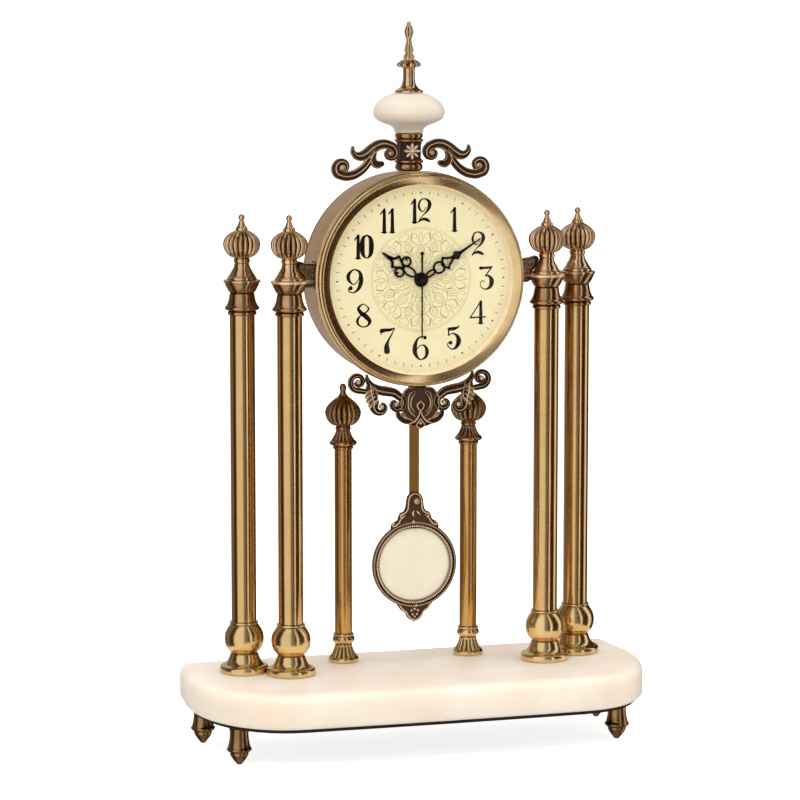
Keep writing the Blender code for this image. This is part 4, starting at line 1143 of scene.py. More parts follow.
@dataclass
class LargeColumn:
    """Tall column: foot, drawn tube, capital and gadrooned finial."""

    shop: Workshop
    node: str
    x: float
    y: float
    ring_plate: bool
    ribs: int = 20

    def foot(self) -> Mould:
        """Round flange, cove, bulb and collar.

        Returns:
            The foot.
        """
        profile = [(3.0, 0.3), (20.2, 0.3), (20.5, 0.9), (20.5, 4.2), (20.2, 5.2)]
        profile += smooth([(19.2, 6.1), (16.8, 7.0), (14.4, 9.4), (12.9, 12.4), (11.7, 15.9)], 6)
        profile += [(11.1, 16.3), (11.1, 17.1)]
        profile += smooth([(12.0, 17.6), (14.6, 20.8), (16.2, 25.0), (16.6, 29.4), (15.9, 33.8), (14.0, 37.8),
                           (11.8, 40.9)], 6)
        profile += [(11.2, 41.3), (12.0, 41.7), (12.2, 42.5), (11.9, 43.3), (6.0, 43.3)]
        return lathe(eased(profile, 0.5), 96)

    def tube(self) -> Mould:
        """Thin drawn tube."""
        return lathe(eased([(9.5, 43.6), (10.5, 43.6), (10.5, 302.4), (9.5, 302.4)], 0.15), 96)

    def capital(self) -> Mould:
        """Collar, lower ring, waist and cup.

        Returns:
            The capital.
        """
        profile = [(3.0, 302.7), (11.8, 302.7), (12.1, 303.1), (12.1, 304.9), (11.5, 305.4), (11.4, 306.0)]
        profile += smooth([(12.6, 306.3), (14.2, 307.2), (14.5, 308.4), (13.9, 309.6)], 5)
        profile += smooth([(13.0, 310.4), (11.5, 314.0), (10.7, 318.0), (10.4, 320.2)], 5)
        profile += [(10.0, 320.5), (10.1, 321.2)]
        profile += smooth([(11.0, 321.6), (12.6, 324.4), (14.2, 327.8), (14.6, 329.3)], 5)
        return lathe(eased(profile + [(3.0, 329.3)], 0.4), 96)

    def finial(self) -> Mould:
        """Flared neck under the onion, its collar, spire and ball.

        Returns:
            The finial, its onion still plain.
        """
        profile = [(0.0, 332.0), (12.0, 332.0)]
        if self.ring_plate:
            profile = [(0.0, 329.6), (15.2, 329.6), (15.5, 330.0), (15.5, 331.3), (15.1, 331.7),
                       (12.6, 331.7)]
        profile += [(12.3, 332.4), (12.3, 334.0), (11.2, 334.5), (11.0, 335.3)]
        profile += smooth([(10.2, 336.2), (8.6, 339.2), (7.0, 342.0), (6.1, 345.2)], 5)
        profile += [(6.1, 345.8), (6.7, 346.3), (6.9, 347.6), (6.6, 348.8), (6.1, 349.3)]
        onion = smooth([(6.6, 349.8), (10.6, 351.7), (13.9, 355.4), (15.5, 360.4), (14.9, 364.6),
                        (12.7, 368.0), (8.8, 371.0), (5.0, 373.0)], 7)
        spire = [(5.0, 373.5), (5.1, 374.3), (4.7, 375.1)]
        spire += smooth([(3.9, 375.8), (2.8, 378.2), (1.9, 380.8), (1.6, 381.6)], 5)
        spire += smooth([(2.3, 382.0), (2.7, 383.2), (2.4, 384.6), (1.4, 385.8), (0.0, 386.2)], 5)
        return lathe(eased(profile, 0.4) + onion + spire, self.ribs * 12)

    def build(self) -> None:
        """Put the four turned pieces and dress the tie rod."""
        rows = (("foot", self.foot(), BASE_BRASS), ("tube", self.tube(), TUBE_BRASS),
                ("capital", self.capital(), CAPITAL_BRASS))
        for part, shape, finish in rows:
            node = self.node + "_" + part
            put(node + "_turned", shape.moved(self.x, self.y, MARBLE_TOP), finish, stands_for=[node])
        node = self.node + "_finial"
        self.shop.put_ribbed(node, node + "_ribbed", self.finial().moved(self.x, self.y, MARBLE_TOP),
                             FINIAL_BRASS, rib_band(self.ribs, 0.21, (349.8, 373.2), 2.6, (self.x, self.y)))
        dress(self.node + "_tie_rod", STEEL)


@dataclass
class SmallColumn:
    """Short column behind the pendulum, with a fluted foot and capital."""

    shop: Workshop
    node: str
    x: float
    y: float
    ribs: int = 18
    flutes: int = 14

    def foot(self) -> Mould:
        """Fluted bell on a round flange, with a bulb and ring above it.

        Returns:
            The foot, still plain.
        """
        profile = [(2.0, 0.3), (12.6, 0.3), (12.9, 0.8), (12.9, 2.9), (12.5, 3.6)]
        profile += smooth([(12.2, 4.0), (10.4, 6.4), (8.8, 9.6), (7.8, 12.6), (7.5, 14.6)], 6)
        profile += [(7.1, 15.0), (7.1, 15.8)]
        profile += smooth([(8.2, 16.3), (9.4, 18.2), (9.5, 20.0), (8.6, 22.0)], 5)
        profile += [(8.2, 22.4), (8.8, 22.9), (8.9, 23.8), (8.6, 24.6), (4.0, 24.6)]
        return lathe(eased(profile, 0.4), self.flutes * 12)

    def tube(self) -> Mould:
        """Thin drawn tube, less polished than the large ones."""
        return lathe(eased([(6.4, 24.9), (7.4, 24.9), (7.4, 183.5), (6.4, 183.5)], 0.15), 80)

    def capital(self) -> Mould:
        """Collar, broad ring and a short fluted flare.

        Returns:
            The capital, still plain.
        """
        profile = [(2.0, 183.8), (8.4, 183.8), (8.7, 184.2), (8.7, 185.4), (8.3, 185.9), (9.0, 186.4)]
        profile += smooth([(10.4, 186.9), (11.6, 188.0), (11.7, 189.2), (10.9, 190.4)], 5)
        profile += smooth([(10.0, 191.2), (8.2, 194.0), (6.8, 197.0), (6.1, 199.2)], 6)
        return lathe(eased(profile + [(5.6, 199.4), (2.0, 199.4)], 0.35), self.flutes * 12)

    def finial(self) -> Mould:
        """Gadrooned onion on a ring, with a small knob.

        Returns:
            The finial, still plain.
        """
        profile = [(0.0, 199.7), (6.0, 199.7), (6.6, 200.3), (6.6, 201.9), (6.0, 202.6)]
        onion = smooth([(6.2, 203.2), (10.4, 205.0), (13.6, 208.6), (15.3, 213.8), (14.6, 218.2),
                        (11.8, 222.2), (7.6, 226.0), (4.3, 228.6)], 7)
        knob = smooth([(3.2, 230.2), (2.5, 232.0), (2.6, 233.8), (3.0, 235.4), (2.8, 237.2), (1.6, 239.0),
                       (0.0, 239.6)], 5)
        return lathe(eased(profile, 0.35) + onion + knob, self.ribs * 12)

    def build(self) -> None:
        """Put the turned and fluted pieces and dress the tie rod."""
        rows = (("foot", self.foot(), BASE_BRASS, self.flutes, 0.16, (3.4, 14.9), 1.6),
                ("capital", self.capital(), CAPITAL_BRASS, self.flutes, 0.14, (190.2, 199.4), 1.4),
                ("finial", self.finial(), SMALL_FINIAL_BRASS, self.ribs, 0.14, (203.4, 228.4), 3.2))
        for part, shape, finish, ribs, depth, ends, fade in rows:
            node = self.node + "_" + part
            self.shop.put_ribbed(node, node + "_ribbed", shape.moved(self.x, self.y, MARBLE_TOP), finish,
                                 rib_band(ribs, depth, ends, fade, (self.x, self.y)))
        node = self.node + "_tube"
        tube = self.tube().moved(self.x, self.y, MARBLE_TOP)
        put(node + "_turned", tube, SMALL_TUBE_BRASS, stands_for=[node])
        dress(self.node + "_tie_rod", STEEL)


class Numerals:
    """Dial figures drawn as pen strokes; each point is X, height and width about the figure's middle."""

    STROKES: dict[str, list[list[tuple[float, float, float]]]] = {
        "1": [[(0.6, 9.2, 1.9), (0.6, -9.4, 2.4)], [(0.9, 9.6, 1.4), (-2.6, 5.6, 0.9)],
              [(-1.6, -9.7, 0.9), (2.8, -9.7, 0.9)]],
        "2": [[(2.07, 3.1, 0.5), (-1.2, -0.7, 0.8), (-4.5, 3.1, 1.6), (-3.4, 8.3, 1.2), (0.2, 10, 0.9),
               (4, 8, 1.9), (4.8, 4.5, 2.4), (2.9, 0.1, 1.6), (-1.5, -4.3, 0.7), (-5, -8.9, 0.7)],
              [(-5, -9.4, 0.8), (-2.6, -7.5, 1.5), (0.2, -6.9, 1.9), (2.9, -7.8, 2.0), (4.8, -8.9, 1.2)]],
        "3": [[(-5.2, 8.3, 2.2), (-2, 8.4, 1.6), (2, 8.6, 1.6), (5, 9.2, 0.9)],
              [(4.8, 9, 0.9), (2, 5.5, 1), (-0.8, 1.6, 0.9)],
              [(-0.9, 1.6, 0.8), (2.4, 1.4, 1.6), (4.6, -2.6, 2.8), (3.4, -7.4, 2.2), (-0.6, -9.6, 1),
               (-4.6, -7.6, 0.7), (-5.3, -4.2, 0.6), (-3.2, -2.3, 0.6), (-1.8, -3.6, 0.7)]],
        "4": [[(3, 9.3, 0.9), (-6.4, -4.4, 0.9)], [(-6.6, -4.5, 1.1), (6.8, -4.2, 1.1)],
              [(2.8, 8.8, 1.9), (2.8, -9.2, 2.3)], [(0.4, -9.6, 0.8), (5, -9.6, 0.8)]],
        "5": [[(-4.2, 7.4, 2), (0, 7.7, 2.2), (3.2, 8.6, 1.4), (5.2, 9.8, 0.6)],
              [(-4.3, 7.8, 1.1), (-4.5, 2.3, 1)],
              [(-4.5, 2.1, 0.8), (-0.6, 3.8, 0.9), (3.4, 1, 2.2), (4.4, -3.6, 2.9), (2, -8.2, 1.9),
               (-1.8, -9.5, 0.9), (-5.2, -6.4, 0.8), (-4.6, -3.8, 0.8)],
              [(-2.7, -4.1, 2.4), (-2.5, -4.1, 2.4)]],
        "6": [[(3.5, 8.6, 2.3), (3.7, 8.6, 2.3)],
              [(3.4, 8.9, 0.7), (1.4, 9.8, 0.8), (-2.8, 7.6, 1.4), (-5.2, 1.6, 2.6), (-5, -4.2, 2.6),
               (-2.2, -8.8, 1.4), (0.6, -9.7, 0.9), (4.2, -7.6, 1.8), (5.4, -3, 2.4), (3.8, 1.2, 1.6),
               (0.8, 2.4, 0.8), (-2.4, 0.6, 0.7), (-4.2, -2.5, 0.7)]],
        "7": [[(-5.6, 7.6, 2.6), (-2.4, 8.2, 2.2), (2, 8.4, 1.8), (6, 9.8, 0.7)],
              [(5.9, 9.6, 0.7), (3.4, 4.8, 1), (0.4, -0.6, 1.5), (-1, -5, 2.8), (-0.8, -9.6, 3.4)],
              [(-6, 8.4, 0.8), (-5.8, 4.6, 0.8)]],
        "8": [[(4.3, 6.2, 0.9), (0, 9.6, 0.8), (-4.4, 6.4, 1.8), (-2.6, 2.6, 2.4), (1.6, -0.6, 2.8),
               (5.2, -4.8, 2.4), (3.8, -8.2, 1.4), (0, -9.6, 0.9), (-4.2, -7.8, 1.3), (-5.4, -4.6, 1.8),
               (-3.6, -1, 1.2), (0.2, 1.4, 0.8), (3.6, 4, 1.2), (4.3, 6.2, 1.3)]],
        "9": [[(4.2, 5.2, 0.7), (3.6, 2, 0.7), (1, -1.8, 0.8), (-2, -2.2, 1), (-5.2, 1.6, 2.2), (-5, 6, 2.2),
               (-1, 9.6, 1), (3.4, 8.4, 1.6), (5.4, 4.6, 2.4), (5.4, -1, 2.6), (3.2, -6.4, 2),
               (-0.8, -9.4, 1), (-4.6, -8.6, 0.9), (-5.4, -6.2, 0.9)],
              [(-3.5, -5.6, 2.6), (-3.3, -5.6, 2.6)]],
        "0": [[(0, 9.5, 0.9), (-3.1, 6.8, 2.3), (-4.0, 0, 3.0), (-3.1, -6.8, 2.3), (0, -9.5, 0.9),
               (3.1, -6.8, 2.3), (4.0, 0, 3.0), (3.1, 6.8, 2.3), (0, 9.5, 0.9)]],
    }
    BOLD: float = 0.16
    THINNEST: float = 0.45
    PAIRS: dict[int, list[tuple[str, float]]] = {
        10: [("1", -5.2), ("0", 2.8)], 11: [("1", -3.7), ("1", 3.3)], 12: [("1", -6.1), ("2", 2.7)]}

    def figure(self, hour: int, x: float, z: float, front: float, back: float) -> Mould:
        """One hour's figure.

        Args:
            hour: Which hour.
            x: Its middle across.
            z: Its middle's height.
            front: Depth of the ink's face.
            back: Depth of the dial's face.

        Returns:
            The figure's strokes.
        """
        shape = Mould()
        for digit, shift in self.PAIRS.get(hour, [(str(hour), 0.0)]):
            for stroke in self.STROKES[digit]:
                curve = smooth(stroke, 1 if len(stroke) == 2 else 7)
                rows = [(x + shift + px, z + pz, max(w * (1 + self.BOLD * w), self.THINNEST)) for px, pz,
                        w in curve]
                shape.add(drawn(rows, front, back))
        return shape


@dataclass
class ClockCase:
    """Drum, bezel, glass, sight ring, printed dial and rear cover."""

    shop: Workshop
    face: float = 8.2
    numeral_radius: float = 57.5
    track_radius: float = 72.6
    ink: float = 0.06

    def ring(self, profile: Sequence[Point], sides: int = 192, ease: float = 0.3) -> Mould:
        """A turned ring about the dial's axis, given as radius and depth pairs."""
        return hoop(profile, sides, ease).facing().moved(0, 0, DIAL_HEIGHT)

    def drum(self) -> Mesh:
        """Spun drum with a rolled rear edge and the slot that the pendulum hangs through.

        Returns:
            The drum's mesh.
        """
        profile = [(88.0, 12.8), (88.0, 58.4), (87.6, 58.9), (87.6, 59.5), (88.0, 60.0), (88.0, 61.0),
                   (87.5, 61.6)]
        profile += [(78.0, 61.6), (78.0, 60.2), (86.6, 60.2), (86.6, 12.8)]
        holder = bpy.data.objects.new("drum_blank", self.ring(profile, 160).mesh("drum_spun"))
        slot = prism(oblong(14.3, 24.4, 29.2), 303.7, 315.7)
        cutter = bpy.data.objects.new("slot_cutter", slot.mesh("slot_cutter"))
        for blank in (holder, cutter):
            bpy.context.scene.collection.objects.link(blank)
        saw = holder.modifiers.new("slot", "BOOLEAN")
        saw.operation = "DIFFERENCE"
        saw.solver = "EXACT"
        saw.object = cutter
        graph = bpy.context.evaluated_depsgraph_get()
        cut = bpy.data.meshes.new_from_object(holder.evaluated_get(graph))
        for blank in (holder, cutter):
            bpy.data.objects.remove(blank)
        return cut

    def dial_print(self) -> None:
        """Figures, minute marks and a faint traditional border, all as thin layers of ink."""
        front = self.face - self.ink
        figures = Mould()
        for hour in range(1, 13):
            turn = math.radians(30 * hour)
            x = self.numeral_radius * math.sin(turn)
            z = DIAL_HEIGHT + self.numeral_radius * math.cos(turn)
            figures.add(Numerals().figure(hour, x, z, front, self.face))
        put("dial_figures", figures, NUMERAL_INK)
        dot = extruded(oval((0, self.track_radius), (0.75, 0.75), 14), front, self.face)
        self.shop.put_round("dial_hour_dots", dot, NUMERAL_INK, 12)
        marks = Mould()
        for minute in range(1, 5):
            turn = math.radians(6 * minute)
            ends = (self.track_radius - 1.3, self.track_radius + 1.3)
            marks.add(drawn([(r * math.sin(turn), r * math.cos(turn), 0.5) for r in ends], front, self.face))
        self.shop.put_round("dial_minute_marks", marks, TICK_INK, 12)
        self.border(front)

    def border(self, front: float) -> None:
        """A generic arabesque roundel, drawn as one motif set round the dial.

        Args:
            front: Depth of the ink's face.
        """
        lines = Mould()
        for radius in (43.6, 42.2, 15.2):
            ring = oval((0, DIAL_HEIGHT), (radius, radius), 120)
            lines.add(strap(ring, [0.45], front, self.face, Section.FLAT, closed=True))
        put("dial_roundel_rings", lines, PATTERN_INK)
        motif = Mould()
        curves = (((0.0, 16.0, 0.5), (3.2, 20.0, 0.9), (3.0, 25.4, 0.9), (0.0, 29.0, 0.5)),
                  ((0.0, 17.4, 0.5), (1.4, 21.0, 0.7), (1.2, 24.6, 0.7), (0.0, 27.0, 0.4)),
                  ((0.4, 29.4, 0.5), (5.6, 30.2, 0.9), (8.6, 34.4, 0.9), (7.0, 38.6, 0.8), (3.6, 38.0, 0.6),
                   (3.6, 35.2, 0.5), (5.4, 34.8, 0.4)),
                  ((0.0, 30.0, 0.5), (1.9, 34.0, 1.0), (0.0, 40.6, 0.4)),
                  ((1.8, 28.6, 0.4), (5.6, 27.4, 0.8), (8.2, 24.2, 0.7), (7.0, 21.0, 0.7), (4.8, 21.6, 0.5)),
                  ((0.0, 7.4, 0.4), (1.4, 10.4, 0.8), (1.2, 13.6, 0.6), (0.0, 15.2, 0.4)))
        between = (((0.0, 9.0, 0.4), (1.7, 13.6, 0.9), (1.5, 18.6, 0.8), (0.0, 23.0, 0.4)),
                   ((0.0, 24.0, 0.4), (2.9, 27.4, 0.9), (2.7, 31.2, 0.9), (0.0, 34.6, 0.5)),
                   ((0.0, 26.4, 0.4), (1.2, 29.0, 0.7), (0.0, 32.4, 0.4)),
                   ((0.6, 35.0, 0.5), (3.8, 36.4, 0.9), (4.2, 39.4, 0.8), (1.8, 40.4, 0.6), (1.6, 38.4, 0.4)),
                   ((3.8, 33.6, 0.5), (6.4, 36.0, 0.7), (7.6, 40.0, 0.5)))
        for curve, turn in [(row, 0.0) for row in curves] + [(row, math.radians(22.5)) for row in between]:
            cos, sin = math.cos(turn), math.sin(turn)
            line = smooth(curve)
            for row in (line, mirrored(line)):
                turned = [(x * cos + z * sin, z * cos - x * sin, width) for x, z, width in row]
                motif.add(drawn(turned, front, self.face))
        self.shop.put_round("dial_roundel", motif, PATTERN_INK, 8)

    def rear_cover(self) -> None:
        """Rear plate with a rounded window and four slotted screws."""
        outlines = [(oval((0, 0), (radius, radius), 160), depth)
                    for radius, depth in ((83.0, 61.9), (83.0, 62.9), (82.6, 63.5), (81.4, 63.9))]
        outlines += [(rounded_box((26, 25), 8, 39), depth) for depth in (63.9, 61.9)]
        rings = [[Vector((x, depth, DIAL_HEIGHT + z)) for x, z in outline] for outline, depth in outlines]
        put("rear_cover_plate", Mould().skin(rings, loop=True), CASE_BRASS, stands_for=["rear_cover"])
        head = eased([(0.0, 1.3), (1.2, 1.25), (2.3, 0.9), (2.7, 0.2), (2.7, -0.4), (0.0, -0.4)], 0.2)
        screw = lathe(head, 28).facing().moved(54.0, 64.1, 0)
        self.shop.put_round("rear_cover_screws", screw, STEEL, 4, first=45.0)

    def build(self) -> None:
        """Put every piece of the case from the back to the front."""
        put("drum_spun", self.drum(), CASE_BRASS, stands_for=["case_drum"])
        bezel = [(80.0, 1.6), (80.0, 1.45), (80.4, 1.2), (83.2, 0.05), (85.7, -1.0), (86.3, -1.22),
                 (86.8, -1.2), (87.1, -0.8), (87.3, 0.2), (87.6, 1.4), (88.1, 1.9), (88.8, 2.2), (89.3, 2.9),
                 (89.6, 4.2), (89.6, 5.6), (89.4, 7.0), (88.7, 8.1), (88.0, 8.7), (88.0, 9.4), (89.9, 9.8),
                 (90.5, 10.4), (90.5, 12.0), (90.1, 12.5), (84.8, 12.5), (84.8, 1.6)]
        put("bezel_turned", self.ring(bezel, 224, 0.35), BEZEL_BRASS, stands_for=["bezel"])
        sight = [(80.5, 3.5), (84.3, 3.5), (84.3, 7.9), (78.0, 7.9), (77.9, 7.6), (79.0, 5.4)]
        # The sight ring's cream colour is a painted reflection of the dial
        put("sight_ring_turned", self.ring(sight), SIGHT_PAINTED_REFLECTION, stands_for=["sight_ring"])
        back = [(84.4, 3.1), (70.0, 2.64), (50.0, 2.22), (30.0, 1.94), (12.0, 1.76), (0.0, 1.7)]
        front = [(0.0, 0.2), (12.0, 0.26), (30.0, 0.44), (50.0, 0.72), (70.0, 1.14), (84.4, 1.6)]
        dome = lathe(back + front + [(84.4, 3.1)], 128).facing().moved(0, 0, DIAL_HEIGHT)
        put("glass_domed", dome, GLASS, stands_for=["glass"])
        dial = self.ring([(84.0, 8.2), (84.0, 9.0), (5.2, 9.0), (5.2, 8.2)], 160, 0.05)
        put("dial_plate", dial, DIAL_PAINT, stands_for=["dial"])
        self.dial_print()
        self.rear_cover()


@dataclass
class Movement:
    """Quartz movement behind the dial; its solids stay and get their plastics."""

    def build(self) -> None:
        """Dress the movement, its battery and its set knob."""
        dress("movement", PLASTIC)
        dress("battery", SLEEVE)
        dress("set_knob", PLASTIC)


@dataclass
class Hands:
    """Black serpentine hands on the dial's axis, each drawn upright and then turned to the time."""

    hour_plane: float = 6.6
    minute_plane: float = 5.3
    second_plane: float = 3.4
    thick: float = 0.5
    bold: float = 1.7
    hour_turn: float = 304.75
    minute_turn: float = 57.0
    second_turn: float = 180.0

    def turned(self, shape: Mould, degrees: float) -> Mould:
        """A hand turned clockwise about the dial's axis and put in its place."""
        spin = Matrix.Rotation(math.radians(degrees), 4, "Y")
        return Mould().add(shape, Matrix.Translation((0, 0, DIAL_HEIGHT)) @ spin)

    def wire(self, keys: Sequence[Sequence[float]], plane: float) -> Mould:
        """A stamped strip of the hand along key points of X, height and width."""
        rows = [(x, z, width * self.bold) for x, z, width in smooth(keys, 8)]
        return drawn(rows, plane, plane + self.thick)

    def loop(self, centre: Point, radii: Point, plane: float, width: float = 1.0) -> Mould:
        """A pierced loop of the hand."""
        path = oval(centre, radii, 36)
        return strap(path, [width * self.bold], plane, plane + self.thick, Section.FLAT, closed=True)

    def boss(self, radius: float, plane: float, collar: float, end: float) -> Mould:
        """The round middle of a hand and the pipe behind it."""
        profile = [(0.0, plane), (radius - 0.2, plane), (radius, plane + 0.2), (radius, plane + self.thick)]
        return lathe(profile + [(collar, plane + self.thick), (collar, end), (0.0, end)], 48).facing()

    def hour(self) -> Mould:
        """Pierced hour hand with two side rings and a kite.

        Returns:
            The hand, upright.
        """
        plane = self.hour_plane
        shape = self.boss(6.2, plane, 3.2, 11.0).add(self.loop((0, 12.4), (3.2, 6.2), plane))
        for side in (-1, 1):
            shape.add(self.loop((side * 5.4, 19.5), (3.7, 3.7), plane))
            shape.add(extruded(oval((side * 6.9, 20.6), (1.2, 1.2), 16), plane, plane + self.thick))
            shape.add(self.wire([(0.0, 18.2, 1.0), (side * 2.7, 22.8, 1.1), (side * 5.0, 26.6, 1.1),
                                 (side * 5.2, 27.6, 1.2)], plane))
            shape.add(self.wire([(side * 5.2, 27.4, 1.2), (side * 2.4, 28.8, 1.2), (side * 0.9, 31.0, 1.4),
                                 (0.0, 34.0, 1.6)], plane))
        return shape.add(self.wire([(0.0, 32.0, 2.2), (0.0, 36.0, 1.5), (0.0, 41.0, 0.7)], plane))

    def minute(self) -> Mould:
        """Pierced minute hand with two loops, a kite and a solid diamond.

        Returns:
            The hand, upright.
        """
        plane = self.minute_plane
        shape = self.boss(5.2, plane, 2.0, 12.4).add(self.loop((0, 9.6), (2.1, 4.4), plane))
        shape.add(self.loop((0, 18.2), (4.6, 4.8), plane, 1.1))
        for side in (-1, 1):
            shape.add(self.wire([(0.0, 21.4, 1.0), (side * 2.8, 23.0, 1.1), (side * 5.2, 25.2, 1.2)], plane))
            shape.add(self.wire([(side * 5.2, 25.0, 1.2), (side * 3.2, 27.4, 1.1), (side * 1.8, 30.2, 1.2),
                                 (0.0, 33.6, 1.4)], plane))
        shape.add(self.wire([(0.0, 32.4, 1.2), (0.0, 34.8, 3.4), (0.0, 36.6, 4.6), (0.0, 38.6, 3.0),
                             (0.0, 41.6, 1.0)], plane))
        return shape.add(self.wire([(0.0, 40.4, 1.5), (0.0, 50.0, 1.1), (0.0, 61.0, 0.6)], plane))

    def second(self) -> Mould:
        """Slim second hand with a ball at its tail and a domed cap.

        Returns:
            The hand, upright.
        """
        plane = self.second_plane
        cap = [(0.0, plane - 0.5), (1.4, plane - 0.4), (2.3, plane), (2.6, plane + 0.4), (2.4, plane + 0.6)]
        shape = lathe(cap + [(0.9, plane + 0.6), (0.9, 14.0), (0.0, 14.0)], 40).facing()
        shape.add(strap([(0, -22.0), (0, 0), (0, 49.0)], [1.8, 1.5, 1.1], plane + 0.05, plane + 0.45,
                        Section.FLAT))
        ball = lathe([(0.0, plane - 0.1), (1.3, plane), (1.7, plane + 0.25), (1.5, plane + 0.5),
                      (0.0, plane + 0.5)], 28)
        return shape.add(ball.facing().moved(0, 0, -22.0))

    def build(self) -> None:
        """Put the three hands at the time that the dial shows."""
        rows = (("hour", self.hour(), self.hour_turn), ("minute", self.minute(), self.minute_turn),
                ("second", self.second(), self.second_turn))
        for body, shape, turn in rows:
            put(body + "_hand_stamped", self.turned(shape, turn), BLACK_ENAMEL, body, [body + "_hand"])


@dataclass
class Brackets:
    """Cast arms that hold the drum between the two inner columns."""

    column_x: float = 112.4
    column_y: float = 11.2
    bottom: float = MARBLE_TOP + 329.6
    top: float = MARBLE_TOP + 331.7

    def arm(self, side: int) -> Mould:
        """Eye round the column, ledge, saddle on the drum and a scrolled web.

        Args:
            side: Minus one for the left arm, one for the right.

        Returns:
            The arm.
        """
        eye = hoop([(3.4, self.bottom), (15.5, self.bottom), (15.5, self.top), (3.4, self.top)], 64, 0.4)
        shape = eye.moved(side * self.column_x, self.column_y)
        ledge = [(side * x, y) for x, y in ((88.6, 14.2), (104.0, 12.4), (104.0, 19.0), (88.6, 24.4))]
        shape.add(prism(ledge, self.bottom + 0.1, self.top - 0.1))
        saddle = arc((0, DIAL_HEIGHT), (88.3, 88.3), -4, 10.5, 12)
        saddle += arc((0, DIAL_HEIGHT), (90.6, 90.6), 10.5, -4, 12)
        shape.add(extruded([(side * x, z) for x, z in saddle], 13.4, 25.6))
        web = smooth([(90.4, self.top + 12.0, 3.0), (98.0, self.top + 12.2, 4.0),
                      (104.2, self.top + 13.2, 4.4), (103.6, self.top + 8.0, 3.4),
                      (99.4, self.top + 3.0, 3.2), (97.0, self.bottom - 1.8, 5.0),
                      (90.6, self.bottom - 2.2, 4.2)], 6)
        shape.add(drawn([(side * x, z, w) for x, z, w in web], 14.0, 19.0, Section.ROLLED, both=True))
        fill = [(89.8, self.bottom - 4.0), (97.0, self.bottom - 4.0), (99.2, self.top + 3.0),
                (103.2, self.top + 9.0), (103.0, self.top + 13.0), (89.8, self.top + 12.0)]
        return shape.add(extruded([(side * x, z) for x, z in fill], 15.2, 18.0))

    def build(self) -> None:
        """Put both arms."""
        for name, side in (("side_bracket_left", -1), ("side_bracket_right", 1)):
            put(name + "_cast", self.arm(side), BRONZE, stands_for=[name])


